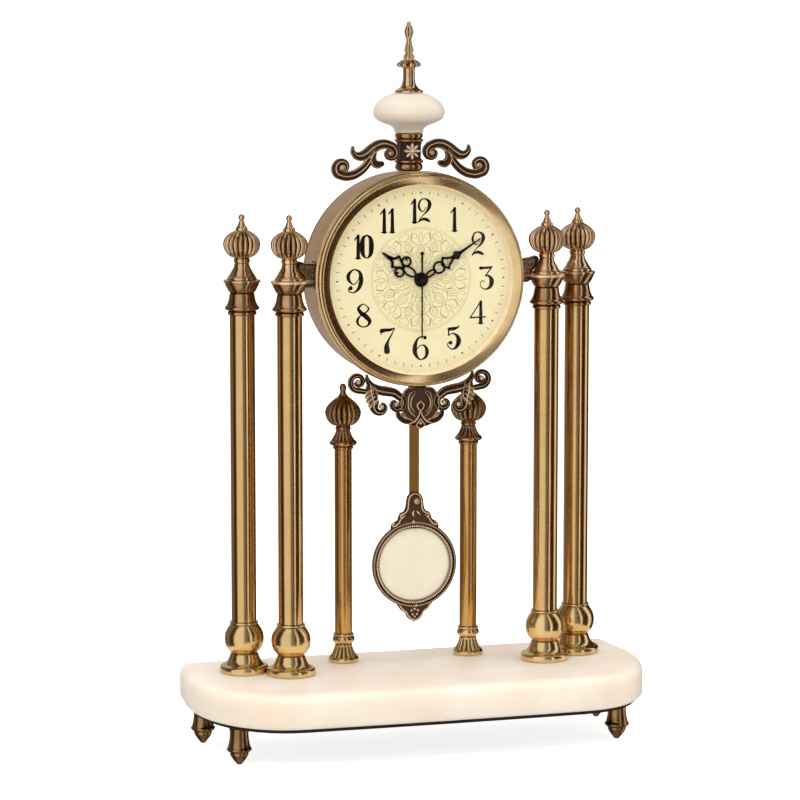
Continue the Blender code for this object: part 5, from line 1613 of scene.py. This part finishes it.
@dataclass
class Crest:
    """Cast block with scrolls, marble ball and a slender finial on top of the drum."""

    shop: Workshop
    plane: float = 36.7
    finial_y: float = 42.7
    corner: float = 3.6

    def turned(self) -> Mould:
        """The block's round base and head.

        Returns:
            The base and the head.
        """
        base = [(2.9, 419.2), (9.6, 419.2), (11.4, 420.6), (11.8, 422.4), (11.4, 424.4), (10.6, 425.2),
                (10.6, 425.8), (12.0, 426.2), (12.4, 427.0), (12.2, 428.0), (2.9, 428.0)]
        head = [(2.9, 444.0), (12.0, 444.0), (12.4, 444.7), (12.0, 445.5), (10.6, 445.9), (10.6, 446.5),
                (11.5, 447.4), (11.8, 449.0), (11.4, 450.4), (10.6, 451.0), (2.9, 451.0)]
        return hoop(base, 72, 0.3).add(hoop(head, 72, 0.3)).moved(0, self.finial_y, MARBLE_TOP)

    def block(self) -> Mould:
        """The square block with rounded corners.

        Returns:
            The block.
        """
        flat = 9.6 - self.corner
        rings = []
        for inset, z in ((0.9, 427.8), (0.0, 428.8), (0.9, 430.4), (0.9, 441.6), (0.0, 443.2), (0.9, 444.2)):
            rings.append([Vector((x, y, z)) for x, y in rounded_box((flat, flat), self.corner - inset, 6)])
        return Mould().skin(rings).moved(0, self.finial_y, MARBLE_TOP)

    def flower(self) -> Mould:
        """Eight rounded petals and an eye on the block's front.

        Returns:
            The flower.
        """
        shape = Mould()
        for petal in range(8):
            turn = 2 * math.pi * petal / 8
            path = [(r * math.sin(turn), 436.0 + r * math.cos(turn)) for r in (1.8, 3.6, 5.2, 6.2)]
            shape.add(strap(path, [1.0, 2.2, 2.8, 1.6], -11.2, -8.5))
        eye = lathe([(0.0, -11.8), (1.2, -11.6), (1.9, -10.8), (2.0, -8.6), (0.0, -8.6)], 20).facing()
        return shape.add(eye.moved(0, 0, 436.0)).moved(0, self.finial_y, MARBLE_TOP)

    def ball(self) -> Mould:
        """Flattened marble ball on a short neck.

        Returns:
            The ball.
        """
        profile = [(2.9, 451.3), (11.7, 451.3), (12.1, 452.2)]
        profile += smooth([(12.2, 454.2), (15.6, 457.2), (21.6, 459.4), (27.2, 462.4), (29.8, 466.6),
                           (29.6, 471.0), (27.2, 475.6), (22.0, 480.2), (15.4, 483.4), (11.6, 484.4)], 7)
        return lathe(eased(profile + [(2.9, 484.4)], 0.5), 128).moved(0, self.finial_y, MARBLE_TOP)

    def stem(self) -> Mould:
        """Flared stem under a petalled canopy.

        Returns:
            The stem.
        """
        profile = [(0.0, 484.7), (11.6, 484.7), (12.0, 485.3), (11.8, 486.3)]
        profile += smooth([(10.6, 487.0), (8.0, 488.6), (6.1, 491.2), (5.1, 494.8), (4.9, 499.0),
                           (4.95, 505.0)], 6)
        profile += smooth([(6.4, 505.8), (9.2, 506.4), (10.4, 507.8), (9.8, 509.4), (7.4, 511.0),
                           (5.0, 512.4)], 6)
        return lathe(eased(profile + [(0.0, 512.4)], 0.35), 112).moved(0, self.finial_y, MARBLE_TOP)

    def spire(self) -> Mould:
        """Leafy bulb, slim neck and a closed bud.

        Returns:
            The spire.
        """
        profile = [(0.0, 512.7), (4.2, 512.7)]
        profile += smooth([(4.6, 514.0), (4.4, 515.8), (3.2, 517.0), (3.3, 518.2), (3.9, 519.8), (3.7, 521.8),
                           (2.9, 524.4), (2.2, 527.4), (2.1, 529.6), (2.8, 531.4), (3.7, 534.4), (3.5, 537.4),
                           (2.4, 540.2), (1.5, 541.4), (1.6, 542.6), (1.0, 543.8), (0.0, 544.0)], 4)
        return lathe(profile, 72).moved(0, self.finial_y, MARBLE_TOP)

    def scroll(self) -> Mould:
        """The left C scroll with its leaf tip, and an S scroll and a lobe that branch off below it.

        Returns:
            The left scroll.
        """
        inner_eye = (-18.4, 434.3)
        outer_eye = (-59.4, 423.0)
        arch = smooth([(-50.6, 440.6), (-50.6, 436.2), (-47.6, 432.6), (-43.0, 432.2), (-38.2, 434.6),
                       (-33.8, 438.2), (-28.2, 441.4), (-22.2, 442.0), (-16.4, 440.2)], 6)
        arch += spiral(inner_eye, 5.6, 2.2, 56, -270, 40)[1:]
        branch = smooth([(-32.6, 437.0), (-35.2, 430.4), (-41.0, 422.6), (-48.8, 417.4), (-56.6, 416.0),
                         (-62.8, 417.6)], 7)
        branch += spiral(outer_eye, 6.6, 2.2, 238, -90, 40)[1:]
        lobe = smooth([(-31.2, 437.0), (-33.0, 431.0), (-32.2, 427.0), (-29.4, 425.0), (-26.2, 425.6)], 8)
        shape = Mould()
        rows = ((branch, [3.0, 6.2, 7.6, 8.6, 8.6, 7.4, 5.4, 3.8, 2.6], 0.2, Section.RIDGED),
                (lobe, [3.0, 5.0, 6.6, 7.0, 5.4], 0.5, Section.ROLLED),
                (arch, [0.8, 4.6, 8.0, 9.0, 8.8, 8.2, 7.2, 5.8, 4.4, 3.6, 2.8, 2.2], 0.0, Section.RIDGED))
        for path, widths, inset, section in rows:
            shape.add(strap(path, widths, inset - 3.2, 3.2 - inset, section, both=True))
        for eye, radius in ((inner_eye, 2.2), (outer_eye, 2.5)):
            profile = [(0.0, -3.4), (1.2, -3.1), (radius, -1.8), (radius, 1.8), (1.2, 3.1), (0.0, 3.4)]
            shape.add(lathe(profile, 24).facing().moved(eye[0], 0, eye[1]))
        return shape.moved(0, self.plane, MARBLE_TOP)

    def build(self) -> None:
        """Put the block, scrolls, ball and finial."""
        # The block takes the near black ground finish, partly patina and partly painted shade
        put("crest_block_cast", self.block(), SHADED_GROUND_BRONZE, stands_for=["crest_block"])
        put("crest_block_rings", self.turned(), CAPITAL_BRASS)
        put("crest_block_flower", self.flower(), BEAD_BRONZE)
        put("marble_ball_turned", self.ball(), BALL_MARBLE, stands_for=["marble_ball"])
        axis = (0.0, self.finial_y)
        petals = rib_band(8, 0.3, (505.2, 512.6), 1.6, axis)
        self.shop.put_ribbed("finial_stem", "finial_stem_turned", self.stem(), FINIAL_BRASS, petals)
        leaves = rib_band(6, 0.34, (513.0, 526.0), 1.6, axis)
        bud = rib_band(5, 0.3, (530.0, 541.4), 2.4, axis)
        self.shop.put_ribbed("finial_spire", "finial_spire_cast", self.spire(), FINIAL_BRASS, leaves, bud)
        left = self.scroll()
        for name, shape in (("crest_scroll_left", left), ("crest_scroll_right", left.flipped())):
            put(name + "_cast", shape, BRONZE, stands_for=[name])


@dataclass
class LowerOrnament:
    """Pierced cast spray under the bezel, one side's scroll-work and its mirror."""

    front: float = 6.6
    back: float = 12.0

    def half(self) -> Mould:
        """The scrolls, leaf and shell lobe of one side.

        Returns:
            The right half.
        """
        loop = smooth([(33.0, 237.6), (40.0, 237.4), (47.0, 237.0), (53.6, 238.0)], 6)
        loop += spiral((54.0, 245.4), 7.4, 2.3, -92, 340, 48)[1:]
        arm = smooth([(46.4, 251.2), (45.4, 246.2), (41.6, 241.2), (35.8, 238.0), (28.8, 236.6),
                      (22.6, 235.2), (17.6, 231.6)], 7)
        arm += spiral((21.1, 225.8), 7.0, 2.4, 122, 430, 40)[1:]
        curl = smooth([(42.8, 240.4), (42.2, 235.4), (40.8, 230.0)], 7)
        curl += spiral((33.8, 223.9), 6.8, 2.4, 28, -255, 34)
        crest = smooth([(38.2, 237.4), (37.4, 233.4), (37.8, 229.4), (39.2, 226.2)], 6)
        lobe = smooth([(5.4, 237.6), (10.4, 235.8), (13.2, 229.6), (13.0, 221.4), (9.6, 215.8),
                       (4.4, 212.4)], 7)
        skirt = smooth([(19.8, 220.4), (18.6, 215.2), (14.4, 211.6), (8.8, 209.8), (4.0, 207.2)], 7)
        fold = smooth([(16.4, 217.6), (13.6, 214.4), (9.2, 212.9)], 6)
        arch = smooth([(0.3, 219.0), (2.0, 214.4), (5.4, 210.6), (10.0, 208.6)], 7)
        vein = smooth([(4.6, 234.6), (7.8, 230.0), (8.4, 223.8), (5.2, 218.2)], 6)
        rows = ((lobe, [4.0, 6.0, 7.4, 7.4, 6.4, 4.4], 1.9, Section.ROLLED),
                (skirt, [2.4, 4.2, 5.2, 4.6, 2.6], 0.9, Section.ROLLED),
                (fold, [0.9, 1.7, 0.9], 0.5, Section.ROUND),
                (loop, [2.6, 4.4, 5.2, 4.8, 4.4, 4.0, 3.4, 2.8, 2.2], 0.6, Section.RIDGED),
                (curl, [8.4, 9.6, 8.8, 6.8, 5.2, 4.0, 3.0, 2.2], 0.6, Section.RIDGED),
                (crest, [0.9, 1.5, 1.4, 0.8], 0.2, Section.ROUND),
                (arm, [1.2, 4.4, 7.4, 8.4, 8.0, 7.0, 6.2, 5.0, 4.0, 3.2, 2.4], 0.0, Section.RIDGED),
                (arch, [1.5, 2.0, 2.0, 1.4], 0.2, Section.ROUND),
                (vein, [0.9, 1.7, 1.7, 0.9], 0.4, Section.ROUND))
        shape = Mould()
        for path, widths, inset, section in rows:
            shape.add(strap(path, widths, self.front + inset, self.back - inset / 2, section))
        for x, z, lean in ((46.6, 236.2, 0.4), (46.4, 232.6, 0.9), (45.2, 229.2, 1.3), (43.4, 225.8, 1.7)):
            petal = smooth([(x - 5.4, z + lean + 2.0), (x - 2.4, z + 1.0), (x - 0.2, z - lean * 0.6)], 5)
            shape.add(strap(petal, [1.6, 3.6, 3.8], self.front + 1.1, self.back - 0.6))
        for x, z, radius in ((21.1, 225.8, 2.2), (33.6, 223.9, 2.0), (54.0, 245.4, 2.1)):
            shape.add(self.bead(radius).moved(x, 0, z))
        return shape

    def bead(self, radius: float) -> Mould:
        """A round-headed bead that stands in a scroll's eye.

        Args:
            radius: Its radius.

        Returns:
            The bead.
        """
        profile = [(0.0, self.front), (radius * 0.55, self.front + 0.2), (radius * 0.9, self.front + 1.0),
                   (radius, self.front + 2.0), (radius, self.back - 1.0), (0.0, self.back - 1.0)]
        return lathe(profile, 24).facing()

    def build(self) -> None:
        """Put the spray, its ground with the stay, the diamond, the bud and its bead."""
        half = self.half()
        shape = half.flipped().add(half)
        diamond = smooth([(0.0, 227.4), (3.0, 223.9), (0.0, 219.8), (-3.0, 223.9), (0.0, 227.4)], 3)[:-1]
        shape.add(strap(diamond, [1.6], self.front + 0.2, self.back - 1.0, closed=True))
        bud = smooth([(0.0, 212.6), (2.4, 209.4), (3.6, 206.8), (0.0, 204.4)], 5)
        bud += mirrored(reversed(bud[1:-1]))
        shape.add(strap(bud, [1.4], self.front + 0.3, self.back - 1.0, closed=True))
        shape.add(self.bead(1.4).moved(0, 0, 209.0))
        put("lower_ornament_cast", shape.moved(0, 0, MARBLE_TOP), BRONZE, stands_for=["lower_ornament"])
        side = smooth([(8.6, 238.6), (12.0, 234.0), (14.6, 226.0), (13.4, 218.0), (9.4, 211.2), (4.6, 208.6),
                       (0.0, 204.6)], 4)
        ground = extruded(whole(side), self.front + 3.0, self.back - 0.9, 0.4)
        ground.add(extruded(oblong(6.4, 236.0, 241.9), 12.8, 23.6, 0.2))
        ground.add(extruded(oblong(5.0, 232.0, 239.2), self.back - 2.6, 16.4, 0.2))
        # The ground behind the spray is painted near black, partly patina and partly the painted shade in its
        # gaps
        put("lower_ornament_ground", ground.moved(0, 0, MARBLE_TOP), SHADED_GROUND_BRONZE)


@dataclass
class Pendulum:
    """Flat rod and a framed cream disc."""

    shop: Workshop
    pivot: float = 373.7
    bob: float = 151.1
    body: str = "pendulum"

    def rod(self) -> Mould:
        """Flat strip with a round eye on the movement's pin.

        Returns:
            The rod.
        """
        rings = []
        for reach, depth in ((1.5, 27.4), (1.5, 26.2), (4.3, 26.2), (4.3, 27.4)):
            ring = []
            for x, z in oval((0, 0), (1, 1), 40):
                square = 1.0 if z > 0 or reach < 4.3 else 1 / max(abs(x), abs(z))
                ring.append(Vector((x * reach * square, depth, self.pivot + z * reach * square)))
            rings.append(ring)
        bottom = self.bob + 40.3
        strip = [(4.3, self.pivot - 4.3), (-4.3, self.pivot - 4.3), (-4.3, bottom), (4.3, bottom)]
        return Mould().skin(rings, loop=True).add(extruded(strip, 26.2, 27.4))

    def ring(self) -> Mould:
        """The bob's moulded ring: two rolls with a groove between them.

        Returns:
            The ring.
        """
        profile = [(30.9, 26.4), (30.9, 25.8), (31.5, 25.2), (32.2, 25.0), (33.5, 25.0), (34.0, 25.5),
                   (34.7, 25.5), (35.0, 24.4), (35.5, 23.7), (36.1, 23.8), (36.8, 24.5), (37.4, 25.8),
                   (37.1, 27.6), (36.6, 28.9), (32.6, 28.9), (32.6, 26.4)]
        return hoop(profile, 160, 0.25).facing()

    def edging(self) -> Mould:
        """One side's raised lines on the crest and the drop, with their curled ends.

        Returns:
            The right side's lines.
        """
        lines = ((((0.0, 60.8), (3.4, 59.6), (5.4, 56.0), (5.9, 51.0), (6.6, 47.2), (8.8, 44.6), (11.4, 43.4),
                   (12.6, 42.0), (11.4, 40.9)),
                  (1.3, 1.4, 1.5, 1.5, 1.5, 1.6, 1.9, 1.9, 1.4)),
                 (((9.2, 42.4), (12.4, 39.4), (14.4, 36.2), (17.0, 34.0), (19.2, 34.0), (19.2, 35.8),
                   (17.8, 36.0)),
                  (1.0, 1.4, 1.5, 1.6, 1.8, 1.7, 1.2)),
                 (((13.4, -34.8), (11.2, -37.8), (8.0, -40.6), (6.0, -43.8), (3.2, -46.6), (0.0, -48.0)),
                  (1.2, 1.4, 1.6, 1.5, 1.4, 1.3)))
        shape = Mould()
        for keys, widths in lines:
            shape.add(strap(smooth(keys), widths, 23.0, 25.6))
        for x, z in ((2.8, -39.8), (1.9, -43.2)):
            shape.add(self.pearl(1.05).moved(x, 0, z))
        return shape

    def pearl(self, radius: float) -> Mould:
        """A small half-round bead on the frame.

        Args:
            radius: Its radius.

        Returns:
            The bead.
        """
        angles = (0.0, 0.4, 0.8, 1.2, math.pi / 2)
        high = [(radius * math.sin(a), 24.6 - radius * math.cos(a)) for a in angles]
        return lathe(high + [(radius, 25.6), (0.0, 25.6)], 16).facing()

    def plates(self) -> Mould:
        """The flat grounds of the crest and of the drop.

        Returns:
            The two plates.
        """
        side = smooth([(21.4, 31.0), (20.8, 34.6), (18.8, 36.8), (15.6, 38.6), (14.6, 41.6), (13.0, 44.6),
                       (9.8, 46.2), (8.2, 49.8), (7.6, 54.4), (6.4, 58.8), (3.8, 61.4), (0.0, 62.3)], 5)
        shape = extruded(whole(side), 24.7, 25.9, 0.2)
        drop = smooth([(16.2, -33.0), (13.8, -36.8), (11.6, -39.6), (8.2, -42.0), (6.8, -45.2), (3.6, -48.2),
                       (0.0, -49.4)], 5)
        return shape.add(extruded(whole(drop), 24.9, 27.4, 0.3)).moved(0, 0, self.bob)

    def frame_shape(self) -> Mould:
        """The raised lines, rivet, two-leaved flower and pearls.

        Returns:
            The relief.
        """
        shape = self.edging()
        shape.add(shape.flipped())
        for keys in (((-0.6, 46.2), (-1.6, 44.0), (-1.0, 41.6)), ((1.4, 45.8), (3.0, 44.4), (4.6, 42.8))):
            shape.add(strap(smooth(keys, 5), [0.8, 2.2, 0.9], 23.6, 25.6))
        for x, z, radius in ((-1.0, 36.6, 1.4), (0.0, -38.4, 1.1), (0.0, -45.2, 1.0), (1.2, -35.6, 1.2)):
            shape.add(self.pearl(radius).moved(x, 0, z))
        rivet = lathe([(0.0, 20.9), (1.3, 21.2), (2.4, 22.1), (2.9, 23.4), (2.7, 25.0), (0.0, 25.0)], 28)
        return shape.add(rivet.facing().moved(1.4, 0, 54.4)).moved(0, 0, self.bob)

    def build(self) -> None:
        """Put the rod, the frame with its milled ring, and the disc."""
        put("pendulum_rod_strip", self.rod(), ROD_BRASS, self.body, ["pendulum_rod"])
        put("bob_ring_cast", self.ring().moved(0, 0, self.bob), RING_BRONZE, self.body, ["bob_frame"])
        put("bob_frame_lines", self.frame_shape(), BRONZE, self.body)
        # The plates behind the lines are painted near black, partly patina and partly painted shade
        put("bob_frame_ground", self.plates(), SHADED_GROUND_BRONZE, self.body)
        bead = lathe([(0.0, -0.8), (0.5, -0.65), (0.75, 0.0), (0.5, 0.65), (0.0, 0.8)], 8)
        self.shop.put_round("bob_milled_ring", bead.moved(0, 25.7, 32.9), BEAD_BRONZE, 108,
                            Vector((0, -1.0, self.bob)), body=self.body)
        disc = lathe(eased([(0.0, 26.9), (30.0, 26.9), (32.2, 27.1), (32.2, 28.3), (0.0, 28.3)], 0.2), 128)
        put("bob_disc_enamelled", disc.facing().moved(0, 0, self.bob), BOB_PAINT, self.body, ["bob_disc"])


# Studio

@dataclass(frozen=True)
class Panel:
    """A bright or dim part of the studio as polished metal sees it; angles are in degrees."""

    azimuth: float
    half_width: float
    elevation: float
    half_height: float
    strength: float
    soft: float = 4.0


@dataclass
class Studio:
    """Pale floor, soft lamps, the tent that polished metal mirrors, and the camera."""

    middle: float = 300.0
    tent_radius: float = 2400.0
    tent_colour: str = "#3A2412"
    floor_reach: float = 9000.0
    panels: tuple[Panel, ...] = (
        Panel(-47, 30, 5, 62, 0.88, 5.0), Panel(-5, 11, 5, 62, 0.2, 4.0), Panel(25, 5, 5, 64, 1.35, 2.0),
        Panel(85, 12, 5, 60, 1.0, 3.0), Panel(180, 28, 5, 50, 0.5, 10.0), Panel(-125, 18, 5, 50, 0.16, 10.0),
        Panel(0, 180, 82, 10, 0.5, 6.0), Panel(0, 180, -78, 14, 0.3, 8.0))

    def tent(self) -> None:
        """A dark cloth tent with lit openings, which only reflections see."""
        made = bpy.data.materials.new("black_cloth_with_lit_openings")
        made.use_nodes = True
        tree = made.node_tree
        tree.nodes.remove(tree.nodes["Principled BSDF"])
        place = add_node(tree, "ShaderNodeTexCoord").outputs["Object"]
        away = add_node(tree, "ShaderNodeVectorMath", {0: place, 1: (0.0, 0.0, self.middle * MM)},
                        operation="SUBTRACT")
        ray = add_node(tree, "ShaderNodeVectorMath", {0: away}, operation="NORMALIZE")
        parts = add_node(tree, "ShaderNodeSeparateXYZ", {0: ray})
        ahead = add_node(tree, "ShaderNodeMath", {0: parts.outputs[1], 1: -1.0}, operation="MULTIPLY")
        turn = add_node(tree, "ShaderNodeMath", {0: parts, 1: ahead}, operation="ARCTAN2")
        azimuth = add_node(tree, "ShaderNodeMath", {0: turn}, operation="DEGREES").outputs[0]
        rise = add_node(tree, "ShaderNodeMath", {0: parts.outputs[2]}, operation="ARCSINE")
        elevation = add_node(tree, "ShaderNodeMath", {0: rise}, operation="DEGREES").outputs[0]
        level: Any = 0.0
        for panel in self.panels:
            across = self.fade(tree, azimuth, panel.azimuth, panel.half_width, panel.soft)
            up = self.fade(tree, elevation, panel.elevation, panel.half_height, panel.soft)
            both = add_node(tree, "ShaderNodeMath", {0: across, 1: up}, operation="MULTIPLY")
            level = add_node(tree, "ShaderNodeMath", {0: both, 1: panel.strength, 2: level},
                             operation="MULTIPLY_ADD").outputs[0]
        light = add_node(tree, "ShaderNodeEmission", {"Color": linear("#FFFFFF"), "Strength": level})
        cloth = add_node(tree, "ShaderNodeEmission", {"Color": linear(self.tent_colour), "Strength": 1.0})
        mixed = add_node(tree, "ShaderNodeAddShader", {0: light, 1: cloth})
        feed(tree.nodes["Material Output"], {"Surface": mixed})
        half_turn = arc((0, 0), (self.tent_radius, self.tent_radius), -88, 88, 22)
        shape = lathe(half_turn, 48).moved(0, 0, self.middle)
        made_tent = self.set_up("tent", shape, made, ("camera", "diffuse", "volume_scatter", "shadow"))

    def set_up(self, name: str, shape: Mould, material: bpy.types.Material,
               unseen_by: Sequence[str]) -> bpy.types.Object:
        """Set up a part of the studio.

        Args:
            name: Its name.
            shape: Its shape.
            material: Its surface.
            unseen_by: The kinds of rays that pass through it.

        Returns:
            The object.
        """
        mesh = shape.mesh(name)
        mesh.materials.append(material)
        made = bpy.data.objects.new(name, mesh)
        bpy.context.scene.collection.objects.link(made)
        for kind in unseen_by:
            setattr(made, "visible_" + kind, False)
        return made

    def fade(self, tree: Tree, angle: Socket, middle: float, half: float, soft: float) -> Node:
        """One inside an angular range and nought outside, with a soft edge.

        Args:
            tree: The material's tree.
            angle: The angle.
            middle: Middle of the range.
            half: Half the range.
            soft: Half the edge.

        Returns:
            The node that gives it.
        """
        gap = add_node(tree, "ShaderNodeMath", {0: angle, 1: middle}, operation="SUBTRACT")
        around = add_node(tree, "ShaderNodeMath", {0: gap, 1: 180.0, 2: -180.0}, operation="WRAP")
        far = add_node(tree, "ShaderNodeMath", {0: around}, operation="ABSOLUTE")
        return add_node(tree, "ShaderNodeMapRange", {
            "Value": far, "From Min": half - soft, "From Max": half + soft, "To Min": 1.0, "To Max": 0.0},
            interpolation_type="SMOOTHSTEP")

    def in_view(self, tree: Tree) -> Node:
        """One for the rays of the camera, of reflections and of clear glass, nought for the rest.

        Args:
            tree: The tree.

        Returns:
            The node that gives it.
        """
        rays = add_node(tree, "ShaderNodeLightPath").outputs
        seen = add_node(tree, "ShaderNodeMath", {0: rays["Is Camera Ray"], 1: rays["Is Glossy Ray"]},
                        operation="MAXIMUM")
        return add_node(tree, "ShaderNodeMath", {0: seen, 1: rays["Is Transmission Ray"]},
                        operation="MAXIMUM")

    def world(self) -> None:
        """White behind the clock for the camera and reflections, and a plain soft light for the rest."""
        world = bpy.data.worlds.new("studio")
        bpy.context.scene.world = world
        world.use_nodes = True
        tree = world.node_tree
        strength = add_node(tree, "ShaderNodeMapRange", {
            "Value": self.in_view(tree), "To Min": 0.76, "To Max": 1.0})
        feed(tree.nodes["Background"], {"Color": linear("#FFFFFF"), "Strength": strength})

    def floor(self) -> None:
        """Pale floor that reads white where nothing shades it."""
        made = bpy.data.materials.new("pale_painted_floor")
        made.use_nodes = True
        tree = made.node_tree
        shader = tree.nodes["Principled BSDF"]
        feed(shader, {"Base Color": linear("#E6E4E0"), "Roughness": 0.9, "Specular IOR Level": 0.1})
        lift = add_node(tree, "ShaderNodeMath", {0: self.in_view(tree), 1: 0.8}, operation="MULTIPLY")
        glow = add_node(tree, "ShaderNodeEmission", {"Color": linear("#FFFFFF"), "Strength": lift})
        mixed = add_node(tree, "ShaderNodeAddShader", {0: shader, 1: glow})
        feed(tree.nodes["Material Output"], {"Surface": mixed})
        slab = prism(oblong(self.floor_reach, -self.floor_reach, self.floor_reach), -20.0, 0.0)
        made_floor = self.set_up("floor", slab, made, ("glossy",))

    def lamp(self, name: str, place: tuple[float, float, float], size: float, power: float) -> None:
        """A square soft lamp that faces the clock.

        Args:
            name: Its name.
            place: Where it stands, in metres.
            size: Its side in metres.
            power: Its power in watts.
        """
        data = bpy.data.lights.new(name, "AREA")
        data.size = size
        data.energy = power
        made = bpy.data.objects.new(name, data)
        made.location = place
        aim = Vector((0, 0, self.middle * MM)) - Vector(place)
        made.rotation_euler = aim.to_track_quat("-Z", "Y").to_euler()
        made.visible_glossy = False
        bpy.context.scene.collection.objects.link(made)

    def camera(self) -> None:
        """The photograph's view: slightly from the left and above."""
        data = bpy.data.cameras.new("photo_view")
        data.lens = 146.5
        data.sensor_width = 36.0
        made = bpy.data.objects.new("photo_view", data)
        made.location = (-0.7810, -2.5896, 0.6454)
        made.rotation_euler = (math.radians(82.62), 0.0, math.radians(-16.37))
        bpy.context.scene.collection.objects.link(made)
        bpy.context.scene.camera = made

    def build(self) -> None:
        """Set the light, floor and camera."""
        self.world()
        self.floor()
        self.tent()
        self.lamp("key_lamp", (-1.2, -1.9, 2.4), 1.8, 28.0)
        self.lamp("top_lamp", (0.2, -0.4, 5.0), 3.5, 78.0)
        self.lamp("fill_lamp", (2.0, -1.8, 1.2), 1.6, 7.0)
        self.camera()


def main() -> None:
    """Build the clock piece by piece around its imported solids."""
    logging.basicConfig(level=logging.INFO, format="%(name)s: %(message)s")
    bpy.context.scene.view_settings.view_transform = "Standard"
    shop = Workshop(gadroon_tree(), round_tree())
    Studio().build()
    MarbleBase().build()
    for node, x, y in (("column_outer_left", -147.5, 33.1), ("column_inner_left", -112.4, 11.2),
                       ("column_inner_right", 112.4, 11.2), ("column_outer_right", 147.5, 33.1)):
        LargeColumn(shop, node, x, y, "outer" in node).build()
    for node, x, y in (("column_small_left", -55.8, 50.8), ("column_small_right", 55.8, 50.8)):
        SmallColumn(shop, node, x, y).build()
    ClockCase(shop).build()
    Movement().build()
    Hands().build()
    Brackets().build()
    Crest(shop).build()
    LowerOrnament().build()
    Pendulum(shop).build()


if __name__ == "__main__":
    main()
